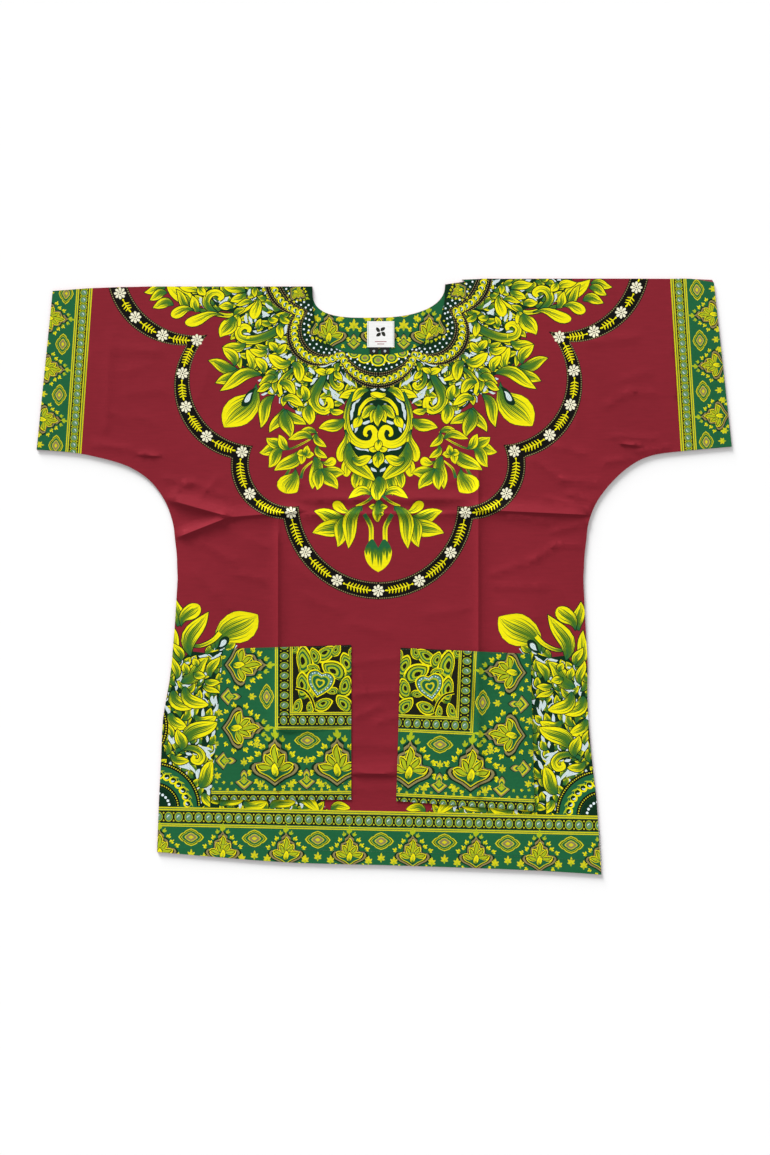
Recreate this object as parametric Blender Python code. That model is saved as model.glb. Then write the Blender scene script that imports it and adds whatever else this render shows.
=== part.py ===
"""Dashiki shirt, laid flat on its back.

The front and the back are cut alike, each with its short wide sleeves in one piece, and lie on each
other. Two patch pockets lie on the front, and a neck label with two small tabs lies inside the back
neck. Metres, +Z up: the back rests on the plane z = 0 with the neck towards +Y, and the origin is
under the middle of the shirt.
"""

import math
from collections import namedtuple

import bmesh
import bpy
from mathutils import Vector
from mathutils.geometry import delaunay_2d_cdt

# ---- cloth
CLOTH = 0.0010          # wall of one layer of printed cotton
SEAM_GAP = 0.0003       # between layers that meet
LOFT = 0.0004           # air that stays between front and back everywhere

# ---- driving sizes of the cut
CUFF_X = 0.4445         # half the span over both sleeves
TOP_Y = 0.3810          # top edge, half the length over all
NECK_X = -0.0070        # middle of the neck opening
NECK_HALF_WIDTH = 0.0850
NECK_POINT_LEFT_Y = 0.3712
NECK_POINT_RIGHT_Y = 0.3738

# ---- fineness of the facets
FRONT_SPACING = 0.0250
BACK_SPACING = 0.0450
NECK_STEPS = 18
CURVE_STEPS = 2

# Sections across the body, from the lowest one up to the sleeve: how far the left and the right
# edge lie from the middle line. The last rows sweep out into the sleeve's underside.
Section = namedtuple("Section", "height left right")
BODY_SECTIONS = (
    Section(-0.2850, 0.2880, 0.2715),
    Section(-0.2340, 0.2854, 0.2656),
    Section(-0.1830, 0.2829, 0.2611),
    Section(-0.1440, 0.2765, 0.2598),
    Section(-0.1060, 0.2714, 0.2598),
    Section(-0.0040, 0.2643, 0.2547),
    Section(+0.0480, 0.2675, 0.2586),
    Section(+0.0730, 0.2714, 0.2624),
    Section(+0.0990, 0.2816, 0.2739),
    Section(+0.1240, 0.3008, 0.2940),
    Section(+0.1420, 0.3296, 0.3149),
    Section(+0.1530, 0.3670, 0.3360),
    Section(+0.1590, 0.4000, 0.3650),
)

# Sleeve ends: the lower and the upper corner of each cuff.
Cuff = namedtuple("Cuff", "low_x low_y high_x high_y")
LEFT_CUFF = Cuff(-CUFF_X, 0.1626, -0.4240, 0.3655)
RIGHT_CUFF = Cuff(CUFF_X, 0.1664, 0.4215, 0.3765)

# Points along the two shoulder lines and the hem, each given from left to right.
LEFT_SHOULDER = ((-0.3760, 0.3690), (-0.2995, 0.3712))
RIGHT_SHOULDER = ((0.1040, 0.3776), (0.1240, TOP_Y), (0.3920, TOP_Y))
HEM = (
    (-0.2905, -0.3520), (-0.1843, -0.3610), (-0.1075, -0.3661), (0.0000, -0.3688),
    (0.1037, -0.3722), (0.2000, -0.3760), (0.2778, -TOP_Y),
)

# Neck lines: how far each dips under the neck points, and how square its two halves are.
NeckCut = namedtuple("NeckCut", "depth square_left square_right")
FRONT_NECK = NeckCut(0.0885, 3.0, 2.5)
BACK_NECK = NeckCut(0.0410, 3.3, 2.3)

# Pockets: corners from the top left one round, and how far the mouth stands open.
Pocket = namedtuple("Pocket", "name top_left top_right low_right low_left gape gape_x")
POCKETS = (
    Pocket("pocket_left", (-0.2061, -0.0922), (-0.0422, -0.0872),
           (-0.0422, -0.2850), (-0.2214, -0.2850), 0.0010, -0.1100),
    Pocket("pocket_right", (0.0211, -0.0909), (0.1869, -0.0986),
           (0.1925, -0.2995), (0.0154, -0.2867), 0.0034, 0.1220),
)
GAPE_REACH_X = 0.0550
GAPE_REACH_Y = 0.0650

# Folds that stand up along a line in the front: both ends, height of the crest and reach to a side.
Fold = namedtuple("Fold", "x0 y0 x1 y1 rise reach")
FOLDS = (
    Fold(-0.1900, 0.0790, 0.0300, 0.0850, 0.0010, 0.0160),    # pressed fold across the chest
    Fold(0.0900, 0.0880, 0.2480, 0.0800, 0.0014, 0.0160),     # the same fold, right side
    Fold(-0.1357, 0.0500, -0.1357, -0.2500, 0.0014, 0.0160),  # pressed fold down the left
    Fold(0.1203, 0.1370, 0.1203, -0.2200, 0.0015, 0.0160),    # pressed fold down the right
    Fold(-0.0250, -0.2624, 0.0100, -0.2624, 0.0010, 0.0150),  # pressed fold between the pockets
    Fold(-0.2600, 0.0960, -0.2080, 0.0790, 0.0024, 0.0150),   # upper pleat at the left underarm
    Fold(-0.2520, 0.0560, -0.2100, 0.0700, 0.0018, 0.0150),   # lower pleat at the left underarm
)

# Soft swellings where the front doesn't lie close on the back.
Billow = namedtuple("Billow", "x y reach_x reach_y rise")
BILLOWS = (
    Billow(-0.2000, 0.0100, 0.0600, 0.0900, 0.0016),
    Billow(0.1900, 0.0200, 0.0600, 0.1000, 0.0018),
    Billow(0.0000, 0.1700, 0.1300, 0.0800, 0.0012),
    Billow(-0.3200, 0.2500, 0.0800, 0.0700, 0.0012),
    Billow(0.3200, 0.2600, 0.0800, 0.0700, 0.0014),
    Billow(-0.1200, -0.1900, 0.0800, 0.0700, 0.0012),
    Billow(0.1100, -0.2000, 0.0800, 0.0700, 0.0012),
)

# Neck label and size tabs: middle, width and height.
Tag = namedtuple("Tag", "name x y width height")
TAGS = (
    Tag("neck_label", -0.0045, 0.3102, 0.0346, 0.0332),
    Tag("size_tab_left", -0.0133, 0.2892, 0.0108, 0.0082),
    Tag("size_tab_right", 0.0010, 0.2892, 0.0108, 0.0082),
)

# Finish of each piece: colour, roughness.
MAROON = (0.254, 0.016, 0.034, 1.0)
GREEN = (0.014, 0.147, 0.050, 1.0)
WHITE = (0.830, 0.830, 0.820, 1.0)
BLACK = (0.020, 0.018, 0.022, 1.0)
CLOTH_ROUGHNESS = 0.62
TAG_ROUGHNESS = 0.48


# ---------------------------------------------------------------- outlines

def smooth_line(points, steps=CURVE_STEPS):
    """A Catmull-Rom curve through the points, with some steps between each two."""
    padded = [points[0], *points, points[-1]]
    line = []
    for index in range(1, len(padded) - 2):
        before, start, end, after = (Vector(point) for point in padded[index - 1:index + 3])
        for step in range(steps):
            t = step / steps
            line.append(0.5 * (2 * start + (end - before) * t
                               + (2 * before - 5 * start + 4 * end - after) * t ** 2
                               + (3 * start - before - 3 * end + after) * t ** 3))
    line.append(Vector(points[-1]))
    return line


def neck_line(cut):
    """The neck edge from the right neck point down and up to the left one: half a superellipse."""
    line = []
    for step in range(NECK_STEPS + 1):
        turn = math.pi * (0.5 - step / NECK_STEPS)
        square = cut.square_right if turn > 0 else cut.square_left
        across = math.copysign(abs(math.sin(turn)) ** (2 / square), turn)
        down = abs(math.cos(turn)) ** (2 / square)
        share = 0.5 + 0.5 * across
        top = NECK_POINT_LEFT_Y + share * (NECK_POINT_RIGHT_Y - NECK_POINT_LEFT_Y)
        line.append(Vector((NECK_X + NECK_HALF_WIDTH * across, top - cut.depth * down)))
    return line


def shirt_outline(neck_cut):
    """The cut of the front or the back, all round and anticlockwise, sleeves included."""
    right_side = smooth_line([(row.right, row.height) for row in BODY_SECTIONS]
                             + [(RIGHT_CUFF.low_x, RIGHT_CUFF.low_y)])
    left_side = smooth_line([(-row.left, row.height) for row in BODY_SECTIONS]
                            + [(LEFT_CUFF.low_x, LEFT_CUFF.low_y)])
    outline = smooth_line(HEM)
    outline += right_side
    outline.append(Vector((RIGHT_CUFF.high_x, RIGHT_CUFF.high_y)))
    outline += [Vector(point) for point in reversed(RIGHT_SHOULDER)]
    outline += neck_line(neck_cut)
    outline += [Vector(point) for point in reversed(LEFT_SHOULDER)]
    outline.append(Vector((LEFT_CUFF.high_x, LEFT_CUFF.high_y)))
    outline += reversed(left_side)
    return outline


def pocket_outline(pocket):
    return [Vector(corner) for corner in
            (pocket.low_left, pocket.low_right, pocket.top_right, pocket.top_left)]


def is_inside(point, outline):
    """Whether a point lies within a closed outline."""
    inside = False
    for start, end in zip(outline, outline[1:] + outline[:1]):
        if (start.y > point.y) != (end.y > point.y):
            crossing = start.x + (point.y - start.y) / (end.y - start.y) * (end.x - start.x)
            inside ^= point.x < crossing
    return inside


# ---------------------------------------------------------------- relief of the front

def distance_to_line(point, start, end):
    along = (point - start).dot(end - start) / (end - start).length_squared
    return (point - start.lerp(end, min(max(along, 0.0), 1.0))).length


def soft_step(share):
    """Falls smoothly from 1 to 0 as the share goes from 0 to 1."""
    share = min(max(share, 0.0), 1.0)
    return 1 - share * share * (3 - 2 * share)


def front_lift(point):
    """Height of the front's underside above the back's upper face."""
    lift = SEAM_GAP + LOFT
    for billow in BILLOWS:
        across = (point.x - billow.x) / billow.reach_x
        along = (point.y - billow.y) / billow.reach_y
        lift += billow.rise * math.exp(-across * across - along * along)
    for fold in FOLDS:
        distance = distance_to_line(point, Vector((fold.x0, fold.y0)), Vector((fold.x1, fold.y1)))
        lift += fold.rise * soft_step(distance / fold.reach)
    return lift


def mouth_gape(point, pocket):
    """How far a pocket's mouth stands off the front, none at its sides and bottom."""
    top = Vector(pocket.top_left).lerp(Vector(pocket.top_right), 0.5).y
    across = soft_step(abs(point.x - pocket.gape_x) / GAPE_REACH_X)
    down = soft_step((top - point.y) / GAPE_REACH_Y)
    return pocket.gape * across * down


# ---------------------------------------------------------------- sheets of cloth

def closed_edges(first, count):
    return [(first + i, first + (i + 1) % count) for i in range(count)]


def even_line(start, end, spacing):
    """Points along a straight line, no further apart than the spacing."""
    steps = max(1, math.ceil((end - start).length / spacing))
    return [start.lerp(end, i / steps) for i in range(steps + 1)]


def even_outline(corners, spacing):
    line = []
    for start, end in zip(corners, corners[1:] + corners[:1]):
        line += even_line(start, end, spacing)[:-1]
    return line


def facet_sheet(outline, spacing, inner_outlines=(), folds=()):
    """Facets of a flat sheet inside an outline, with edges along inner outlines and fold crests."""
    points = []
    edges = []
    for ring in (even_outline(outline, spacing * 1.2),
                 *(even_outline(inner, spacing) for inner in inner_outlines)):
        edges += closed_edges(len(points), len(ring))
        points += ring
    for fold in folds:
        start = Vector((fold.x0, fold.y0))
        end = Vector((fold.x1, fold.y1))
        aside = (end - start).orthogonal().normalized() * fold.reach
        crest = even_line(start, end, spacing)
        edges += [(len(points) + i, len(points) + i + 1) for i in range(len(crest) - 1)]
        points += crest
        points += [point + aside for point in crest] + [point - aside for point in crest]
    taken = list(points)
    columns = math.ceil(CUFF_X / spacing)
    rows = math.ceil(TOP_Y / spacing)
    for row in range(-rows, rows + 1):
        for column in range(-columns, columns + 1):
            point = Vector(((column + 0.5 * (row % 2)) * spacing, row * spacing))
            if is_inside(point, outline) and min((point - other).length for other in taken) > 0.6 * spacing:
                points.append(point)
    corners, _, faces, _, _, _ = delaunay_2d_cdt(points, edges, [], 1, 1e-6)
    return corners, faces


def link_object(name, mesh, colour, roughness):
    material = bpy.data.materials.new(name + "_finish")
    material.use_nodes = True
    shader = material.node_tree.nodes["Principled BSDF"]
    shader.inputs["Base Color"].default_value = colour
    shader.inputs["Roughness"].default_value = roughness
    material.diffuse_color = colour
    mesh.materials.append(material)
    item = bpy.data.objects.new(name, mesh)
    bpy.data.collections["dashiki_shirt"].objects.link(item)
    return item


def cloth_wall(name, corners, faces, under_height, colour, roughness):
    """A wall of cloth: the sheet at the height of its underside, extruded up by the cloth's wall."""
    shape = bmesh.new()
    vertices = [shape.verts.new((corner.x, corner.y, under_height(corner))) for corner in corners]
    for face in faces:
        shape.faces.new([vertices[index] for index in face])
    bmesh.ops.recalc_face_normals(shape, faces=shape.faces)
    if sum(face.normal.z for face in shape.faces) > 0:
        bmesh.ops.reverse_faces(shape, faces=shape.faces)
    underside = list(shape.faces)
    upper = bmesh.ops.extrude_face_region(shape, geom=underside, use_keep_orig=True)
    lifted = [item for item in upper["geom"] if isinstance(item, bmesh.types.BMVert)]
    bmesh.ops.translate(shape, verts=lifted, vec=(0, 0, CLOTH))
    bmesh.ops.recalc_face_normals(shape, faces=shape.faces)
    mesh = bpy.data.meshes.new(name)
    shape.to_mesh(mesh)
    shape.free()
    return link_object(name, mesh, colour, roughness)


def part_of_sheet(corners, faces, outline):
    """The facets of a sheet that lie within an outline, with their own corners."""
    chosen = []
    for face in faces:
        middle = sum((corners[index] for index in face), Vector((0, 0))) / len(face)
        if is_inside(middle, outline):
            chosen.append(face)
    used = sorted({index for face in chosen for index in face})
    place = {index: number for number, index in enumerate(used)}
    return [corners[index] for index in used], [[place[index] for index in face] for face in chosen]


# ---------------------------------------------------------------- the pieces

def make_back():
    corners, faces = facet_sheet(shirt_outline(BACK_NECK), BACK_SPACING)
    cloth_wall("back_panel", corners, faces, lambda corner: 0.0, MAROON, CLOTH_ROUGHNESS)


def make_front_and_pockets():
    inner = [pocket_outline(pocket) for pocket in POCKETS]
    corners, faces = facet_sheet(shirt_outline(FRONT_NECK), FRONT_SPACING, inner, FOLDS)
    cloth_wall("front_panel", corners, faces, lambda corner: CLOTH + front_lift(corner),
               MAROON, CLOTH_ROUGHNESS)
    front_top = 2 * CLOTH + SEAM_GAP
    for pocket, outline in zip(POCKETS, inner):
        own_corners, own_faces = part_of_sheet(corners, faces, outline)
        cloth_wall(pocket.name, own_corners, own_faces,
                   lambda corner, pocket=pocket:
                       front_top + front_lift(corner) + mouth_gape(corner, pocket),
                   GREEN, CLOTH_ROUGHNESS)


def make_tags():
    for tag in TAGS:
        bpy.ops.mesh.primitive_cube_add(size=1, location=(tag.x, tag.y, 1.5 * CLOTH + SEAM_GAP))
        item = bpy.context.object
        item.scale = (tag.width, tag.height, CLOTH)
        bpy.ops.object.transform_apply(location=False, rotation=False, scale=True)
        mesh = item.data
        place = item.matrix_world.copy()
        bpy.data.objects.remove(item)
        colour = WHITE if tag.name == "neck_label" else BLACK
        link_object(tag.name, mesh, colour, TAG_ROUGHNESS).matrix_world = place


def main():
    for item in list(bpy.data.objects):
        bpy.data.objects.remove(item)
    bpy.context.scene.collection.children.link(bpy.data.collections.new("dashiki_shirt"))
    make_back()
    make_front_and_pockets()
    make_tags()


main()
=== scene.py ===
"""Looks of the dashiki shirt, laid flat.

Every piece of cloth is a thin closed wall whose upper face is divided along the outlines of its print,
so each printed shape has its own ink. The print is drawn here with a small pen: leaves, ribbons,
beads, lozenges and palmettes, placed in millimetres on the cloth. Metres, +Z up, neck towards +Y.
"""

import math
from functools import partial

import bpy
import numpy as np
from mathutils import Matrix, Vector
from mathutils.geometry import delaunay_2d_cdt


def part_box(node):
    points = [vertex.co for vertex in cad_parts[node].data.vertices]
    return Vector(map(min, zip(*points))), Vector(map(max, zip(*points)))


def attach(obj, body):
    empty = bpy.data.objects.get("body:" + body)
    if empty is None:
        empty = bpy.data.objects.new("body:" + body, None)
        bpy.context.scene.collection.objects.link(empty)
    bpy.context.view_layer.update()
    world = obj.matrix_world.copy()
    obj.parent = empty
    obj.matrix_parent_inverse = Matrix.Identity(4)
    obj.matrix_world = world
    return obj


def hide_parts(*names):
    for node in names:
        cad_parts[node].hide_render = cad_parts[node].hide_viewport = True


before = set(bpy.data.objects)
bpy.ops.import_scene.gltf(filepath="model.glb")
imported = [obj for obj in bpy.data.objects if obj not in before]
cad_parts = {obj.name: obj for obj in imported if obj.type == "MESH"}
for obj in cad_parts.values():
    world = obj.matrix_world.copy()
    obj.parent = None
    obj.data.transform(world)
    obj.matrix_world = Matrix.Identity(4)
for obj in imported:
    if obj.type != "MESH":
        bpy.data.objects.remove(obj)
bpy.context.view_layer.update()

MM = 0.001

# ---- cloth, in metres
SHEET_WALL = 0.00070      # thickness of one layer of cotton as it shows
CAD_WALL = 0.0010         # thickness of one layer in the CAD
SEAM_GAP = 0.0003         # least gap between two layers in the CAD
LOFT = 0.0004             # how much further apart they lie in general
UNDER_MARGIN = 0.5 * (CAD_WALL - SHEET_WALL)


# ================================================================ inks

def linear(red, green, blue):
    """A colour given as 0 to 255, as the renderer's linear values."""
    return tuple((value / 255 / 12.92) if value <= 10 else ((value / 255 + 0.055) / 1.055) ** 2.4
                 for value in (red, green, blue))


INKS = {
    "maroon": linear(131, 32, 44),
    "maroon_pale": linear(146, 70, 80),
    "green": linear(28, 96, 58),
    "green_pale": linear(66, 110, 78),
    "deep": linear(6, 44, 22),
    "black": linear(10, 9, 6),
    "yellow": linear(240, 230, 8),
    "lime": linear(168, 184, 26),
    "leaf": linear(30, 100, 30),
    "white": linear(224, 238, 242),
    "satin": linear(240, 240, 238),
    "cream": linear(240, 236, 206),
    "khaki": linear(140, 128, 82),
    "bead": linear(104, 142, 104),
    "teal": linear(84, 138, 118),
    "brown": linear(24, 26, 14),
    "gold": linear(206, 200, 26),
}
INK_NAMES = list(INKS)
PLAIN, LEAF, DASH, RIB, BROAD = 0.0, 1.0, 2.0, 3.0, 4.0


# ================================================================ lines and curves

def catmull(points, steps=4):
    """A smooth curve through the points."""
    points = np.asarray(points, float)
    padded = np.vstack([2 * points[0] - points[1], points, 2 * points[-1] - points[-2]])
    t = (np.arange(steps) / steps)[:, None]
    curve = []
    for before, start, end, after in zip(padded, padded[1:], padded[2:], padded[3:]):
        curve.append(0.5 * (2 * start + (end - before) * t
                            + (2 * before - 5 * start + 4 * end - after) * t ** 2
                            + (3 * start - before - 3 * end + after) * t ** 3))
    return np.vstack(curve + [points[-1:]])


def directions(line):
    """The unit heading at each point of a line."""
    along = np.gradient(line, axis=0)
    return along / np.maximum(np.linalg.norm(along, axis=1), 1e-9)[:, None]


def sideways(line):
    """The unit step to the left at each point of a line."""
    along = directions(line)
    return np.column_stack([-along[:, 1], along[:, 0]])


def left_of(step):
    """The step turned a quarter to the left."""
    return np.array([-step[1], step[0]])


def toward(turn):
    """A unit step up +v, turned clockwise by degrees."""
    return np.array([math.sin(math.radians(turn)), math.cos(math.radians(turn))])


def arc(centre, radius, start, end, steps):
    """Points on a circle's arc, with its angles in degrees."""
    turn = np.radians(np.linspace(start, end, steps + 1))
    return np.column_stack([centre[0] + radius * np.cos(turn), centre[1] + radius * np.sin(turn)])


def mirrored(half):
    """A closed outline from its half at u >= 0, given from top to bottom."""
    half = np.asarray(half, float)
    other = half[::-1] * (-1, 1)
    return np.vstack([half, other])


def bulged(start, end, swell, steps):
    """An arc from start to end that swells to the left of the straight line by the given depth."""
    start, end = np.asarray(start, float), np.asarray(end, float)
    half = 0.5 * np.linalg.norm(end - start)
    along = (end - start) / (2 * half)
    aside = left_of(along)
    radius = (half ** 2 + swell ** 2) / (2 * abs(swell))
    centre = 0.5 * (start + end) + aside * (swell - math.copysign(radius, swell))
    first = math.atan2(*(start - centre)[::-1])
    sweep = 4 * math.atan2(abs(swell), half) * (-1 if swell > 0 else 1)
    turn = first + sweep * np.linspace(0, 1, steps + 1)
    return np.column_stack([centre[0] + radius * np.cos(turn), centre[1] + radius * np.sin(turn)])


def run_along(line):
    """Distance of each point of a line from its start, measured along it."""
    return np.concatenate([[0], np.cumsum(np.linalg.norm(np.diff(line, axis=0), axis=1))])


def points_at(line, values, at):
    """Values given at a line's points, read at distances along it."""
    reach = run_along(line)
    return np.column_stack([np.interp(at, reach, values[:, axis]) for axis in (0, 1)])


def even_points(line, pitch, start=0.0, end=0.0):
    """Points spread along a line about a pitch apart, with the heading at each."""
    free = run_along(line)[-1] - start - end
    count = max(1, round(free / pitch))
    at = start + free * (np.arange(count) + 0.5) / count
    ahead = points_at(line, directions(line), at)
    return points_at(line, line, at), ahead / np.linalg.norm(ahead, axis=1)[:, None]


def cut_line(line, start, end, steps=12):
    """The part of a line between two distances along it, in even steps."""
    return points_at(line, line, np.linspace(start, end, steps + 1))


def cut_evenly(line, steps):
    """The whole line in even steps."""
    return cut_line(line, 0, run_along(line)[-1], steps)


def inside(points, outline):
    """Which points lie within a closed outline."""
    x, y = points[:, 0:1], points[:, 1:2]
    x0, y0 = outline[:, 0], outline[:, 1]
    x1, y1 = np.roll(x0, -1), np.roll(y0, -1)
    rise = np.where(y1 == y0, 1e-12, y1 - y0)
    result = np.zeros(len(points), bool)
    for part in range(0, len(points), 20000):
        cut = slice(part, part + 20000)
        crosses = (y0 > y[cut]) != (y1 > y[cut])
        at = x0 + (y[cut] - y0) * (x1 - x0) / rise
        result[cut] = (crosses & (x[cut] < at)).sum(1) % 2 == 1
    return result


# ================================================================ pen

# How each form of leaf swells from its base and narrows to its tip.
LEAF_FORMS = {
    "blade": (0.85, 1.05),
    "broad": (1.40, 0.95),
    "drop": (1.15, 0.58),
    "paddle": (1.50, 0.60),
    "petal": (0.60, 0.72),
    "sliver": (0.75, 0.85),
}
# Leaf lengths and width in mm at which a leaf is drawn with more points, or hatched more finely, and
# the share of its length by which it sways into an S.
SHORT_LEAF = 8
LONG_LEAF = 18
BROAD_LEAF = 24
LEAF_SWAY = 0.05


class Pen:
    """Draws shapes in local millimetres and lays them on the cloth."""

    def __init__(self, shapes, lay, matrix=None, origin=(0.0, 0.0)):
        self.shapes = shapes
        self.lay = lay
        self.matrix = np.eye(2) if matrix is None else matrix
        self.origin = np.asarray(origin, float)

    def at(self, u, v, turn=0.0, size=1.0, flip=1):
        """A pen moved to (u, v), turned by degrees, scaled, and mirrored where flip is -1."""
        c, s = math.cos(math.radians(turn)), math.sin(math.radians(turn))
        local = np.array([[c * flip, -s], [s * flip, c]]) * size
        return Pen(self.shapes, self.lay, self.matrix @ local, self.matrix @ (u, v) + self.origin)

    def to_cloth(self, points):
        """Local millimetres as metres on the cloth."""
        return self.lay(np.asarray(points, float) @ self.matrix.T + self.origin)

    def fill(self, points, ink, kind=PLAIN, spine=None, half=None, depth=0.0):
        """A closed shape. A spine with half widths tells the shader how it is hatched."""
        outline = self.to_cloth(points)
        if spine is None:
            self.shapes.append((outline, ink, kind, None, None, depth))
            return
        line = self.to_cloth(spine)
        scale = MM * math.sqrt(abs(np.linalg.det(self.matrix)))
        self.shapes.append((outline, ink, kind, line, np.asarray(half, float) * scale, depth))

    def block(self, left, low, right, high, ink):
        """A rectangle between two sides and two heights."""
        self.fill([(left, low), (right, low), (right, high), (left, high)], ink)

    def disc(self, u, v, radius, ink, sides=12, tall=1.0):
        """A round or oval dot."""
        turn = np.arange(sides) * 2 * math.pi / sides
        self.fill(np.column_stack([u + radius * np.cos(turn), v + radius * tall * np.sin(turn)]), ink)

    def stroke(self, line, widths, ink, kind=PLAIN, depth=0.0):
        """A band along a line, as wide as given at each of its points."""
        line = np.asarray(line, float)
        half = 0.5 * np.broadcast_to(np.asarray(widths, float), (len(line),))
        aside = sideways(line) * half[:, None]
        self.fill(np.vstack([line + aside, (line - aside)[::-1]]), ink, kind, line, half, depth)

    def curve(self, points, widths, ink, kind=PLAIN, depth=0.0, steps=4):
        """A smooth band through a few points, with a width given for each."""
        line = catmull(points, steps)
        widths = np.interp(np.linspace(0, len(points) - 1, len(line)), range(len(points)), widths)
        self.stroke(line, np.maximum(widths, 0.15), ink, kind, depth)

    def leaf(self, base, tip, bow, width, form="blade", ink="yellow", depth=0.5, halo=0.0):
        """A leaf from its base to its tip, bowed to its left by a share of its length."""
        base, tip = np.asarray(base, float), np.asarray(tip, float)
        length = np.linalg.norm(tip - base)
        aside = left_of(tip - base)
        steps = 12 if length > LONG_LEAF else 8 if length > SHORT_LEAF else 5
        t = (0.5 - 0.5 * np.cos(np.linspace(0, math.pi, steps + 1)))[:, None]
        spine = base + (tip - base) * t + aside * (4 * bow * t * (1 - t)
                                                    + math.copysign(LEAF_SWAY, bow) * np.sin(2 * math.pi * t))
        rise, fall = LEAF_FORMS[form]
        profile = t[:, 0] ** rise * (1 - t[:, 0]) ** fall
        half = 0.5 * width * profile / (rise ** rise * fall ** fall / (rise + fall) ** (rise + fall))
        normals = sideways(spine)
        if halo:
            wide = half + halo
            ahead = directions(spine)
            around = np.vstack([spine[:1] - ahead[:1] * halo, spine + normals * wide[:, None],
                                spine[-1:] + ahead[-1:] * halo * 1.4,
                                (spine - normals * wide[:, None])[::-1]])
            self.fill(around, "deep")
        outline = np.vstack([spine + normals * half[:, None], (spine - normals * half[:, None])[-2:0:-1]])
        kind = {"yellow": BROAD if width > BROAD_LEAF else LEAF, "white": RIB}.get(ink, PLAIN)
        self.fill(outline, ink, kind, spine, half, depth)


# ================================================================ motifs

# How much fuller the listed leaves are drawn, and how much deeper their green runs.
LEAF_FULLNESS = 1.14
DEEPER_GREEN = 0.14


def draw_leaves(pen, rows, halo=0.7):
    """Leaves given by base, tip, bow, width, form, and how deep the green runs up from the base."""
    for base_u, base_v, tip_u, tip_v, bow, width, form, depth in rows:
        pen.leaf((base_u, base_v), (tip_u, tip_v), bow, width * LEAF_FULLNESS, form, "yellow",
                 depth + DEEPER_GREEN, halo)


def draw_slivers(pen, rows):
    """Pale ribbed gaps between leaves."""
    for start_u, start_v, end_u, end_v, width in rows:
        pen.leaf((start_u, start_v), (end_u, end_v), 0.06, width, "sliver", "white")


def draw_curls(pen, rows, rim, depth):
    """Curling ribbons on a dark rim. A row has the points along one, with the width at each."""
    for row in rows:
        points = [point[:2] for point in row]
        widths = [point[2] for point in row]
        pen.curve(points, [width + rim for width in widths], "deep")
        pen.curve(points, widths, "yellow", LEAF, depth)


DASH_PITCH = 2.9


def dashes(pen, line, width=1.3):
    """A finely dashed line."""
    length = run_along(line)[-1]
    even = cut_evenly(line, max(6, int(length / 5)))
    pen.stroke(even, width, "khaki", DASH, round(length / DASH_PITCH))


FLOWER_RADIUS = 7.8
PETALS = 8


def flower(pen, u, v):
    """A cream daisy round a small dark eye."""
    for petal in range(PETALS):
        turn = 2 * math.pi * petal / PETALS
        away = np.array([math.cos(turn), math.sin(turn)])
        pen.leaf((u, v) + away * FLOWER_RADIUS * 0.22, (u, v) + away * FLOWER_RADIUS, 0.0,
                 FLOWER_RADIUS * 0.45, "drop", "cream")
    pen.disc(u, v, FLOWER_RADIUS * 0.30, "cream")
    pen.disc(u, v, FLOWER_RADIUS * 0.14, "brown", 8)


LEAFLET = 6.6


def fern(pen, line):
    """A yellow sprig: a stem with pairs of leaflets raked forward along it."""
    pen.stroke(line, 1.0, "yellow")
    pen.disc(*line[0], 1.3, "yellow", 8)
    feet, heads = even_points(line, 3.9, 2.0, 0.5)
    for number, (foot, ahead) in enumerate(zip(feet, heads)):
        aside = left_of(ahead)
        size = LEAFLET * (0.80 + 0.20 * math.sin(math.pi * (number + 1) / len(feet)))
        for side in (-1, 1):
            tip = foot + size * (0.52 * ahead + 0.85 * side * aside)
            pen.leaf(foot, tip, -0.10 * side, 1.55, "petal", "yellow", 0.0)
    pen.leaf(line[-1], line[-1] + directions(line)[-1] * LEAFLET * 0.8, 0.0, 2.2, "petal", "yellow", 0.0)


BEAD_STRIP = 1.24         # width of a strip of beads, as a share of a bead's height


def bead_row(pen, length, pitch, tall, wide):
    """A dark strip along +u with grey-green beads on it, centred on v = 0."""
    low = 0.5 * BEAD_STRIP * tall
    pen.block(0, -low, length, low, "brown")
    for number in range(int(length / pitch)):
        u = pitch * (number + 0.5)
        for share, ink, sides in ((0.53, "lime", 12), (0.43, "green", 12), (0.37, "bead", 10)):
            pen.disc(u, 0, wide * share, ink, sides, tall / wide)
        pen.leaf((u - wide * 0.18, -tall * 0.12), (u + wide * 0.16, tall * 0.20), 0.2, wide * 0.14,
                 "sliver", "white")
        for end in (-1, 1):
            pen.disc(u + 0.5 * pitch, end * tall * 0.40, 0.11 * wide, "gold", 6)


def double_line(pen, length, width):
    """A yellow line along +u with a fine green one inside it."""
    for half, ink in ((width / 2, "gold"), (width * 0.11, "green")):
        pen.block(0, -half, length, half, ink)


def lozenge(pen, width, height):
    """A lobed diamond with rings of green and khaki inside."""
    turn = np.linspace(0, 2 * math.pi, 33)[:-1]
    lobes = 1 + 0.10 * np.cos(4 * turn) + 0.035 * np.cos(12 * turn)
    shape = np.column_stack([np.cos(turn) * lobes, np.sin(turn) * lobes])
    for size, ink in ((1.0, "gold"), (0.88, "deep"), (0.80, "lime"), (0.72, "green"),
                      (0.52, "gold"), (0.44, "khaki"), (0.20, "gold")):
        pen.fill(shape * (0.5 * width * size, 0.5 * height * size), ink)


def tuft(pen, size, ink):
    """A small flame of three blades from one foot, pointing up +v."""
    for turn, reach in ((0, 1.0), (46, 0.70), (-46, 0.70)):
        pen.leaf((0, -size * 0.14), toward(turn) * size * reach * 0.72, 0.06, size * 0.30, "petal", ink)


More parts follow.
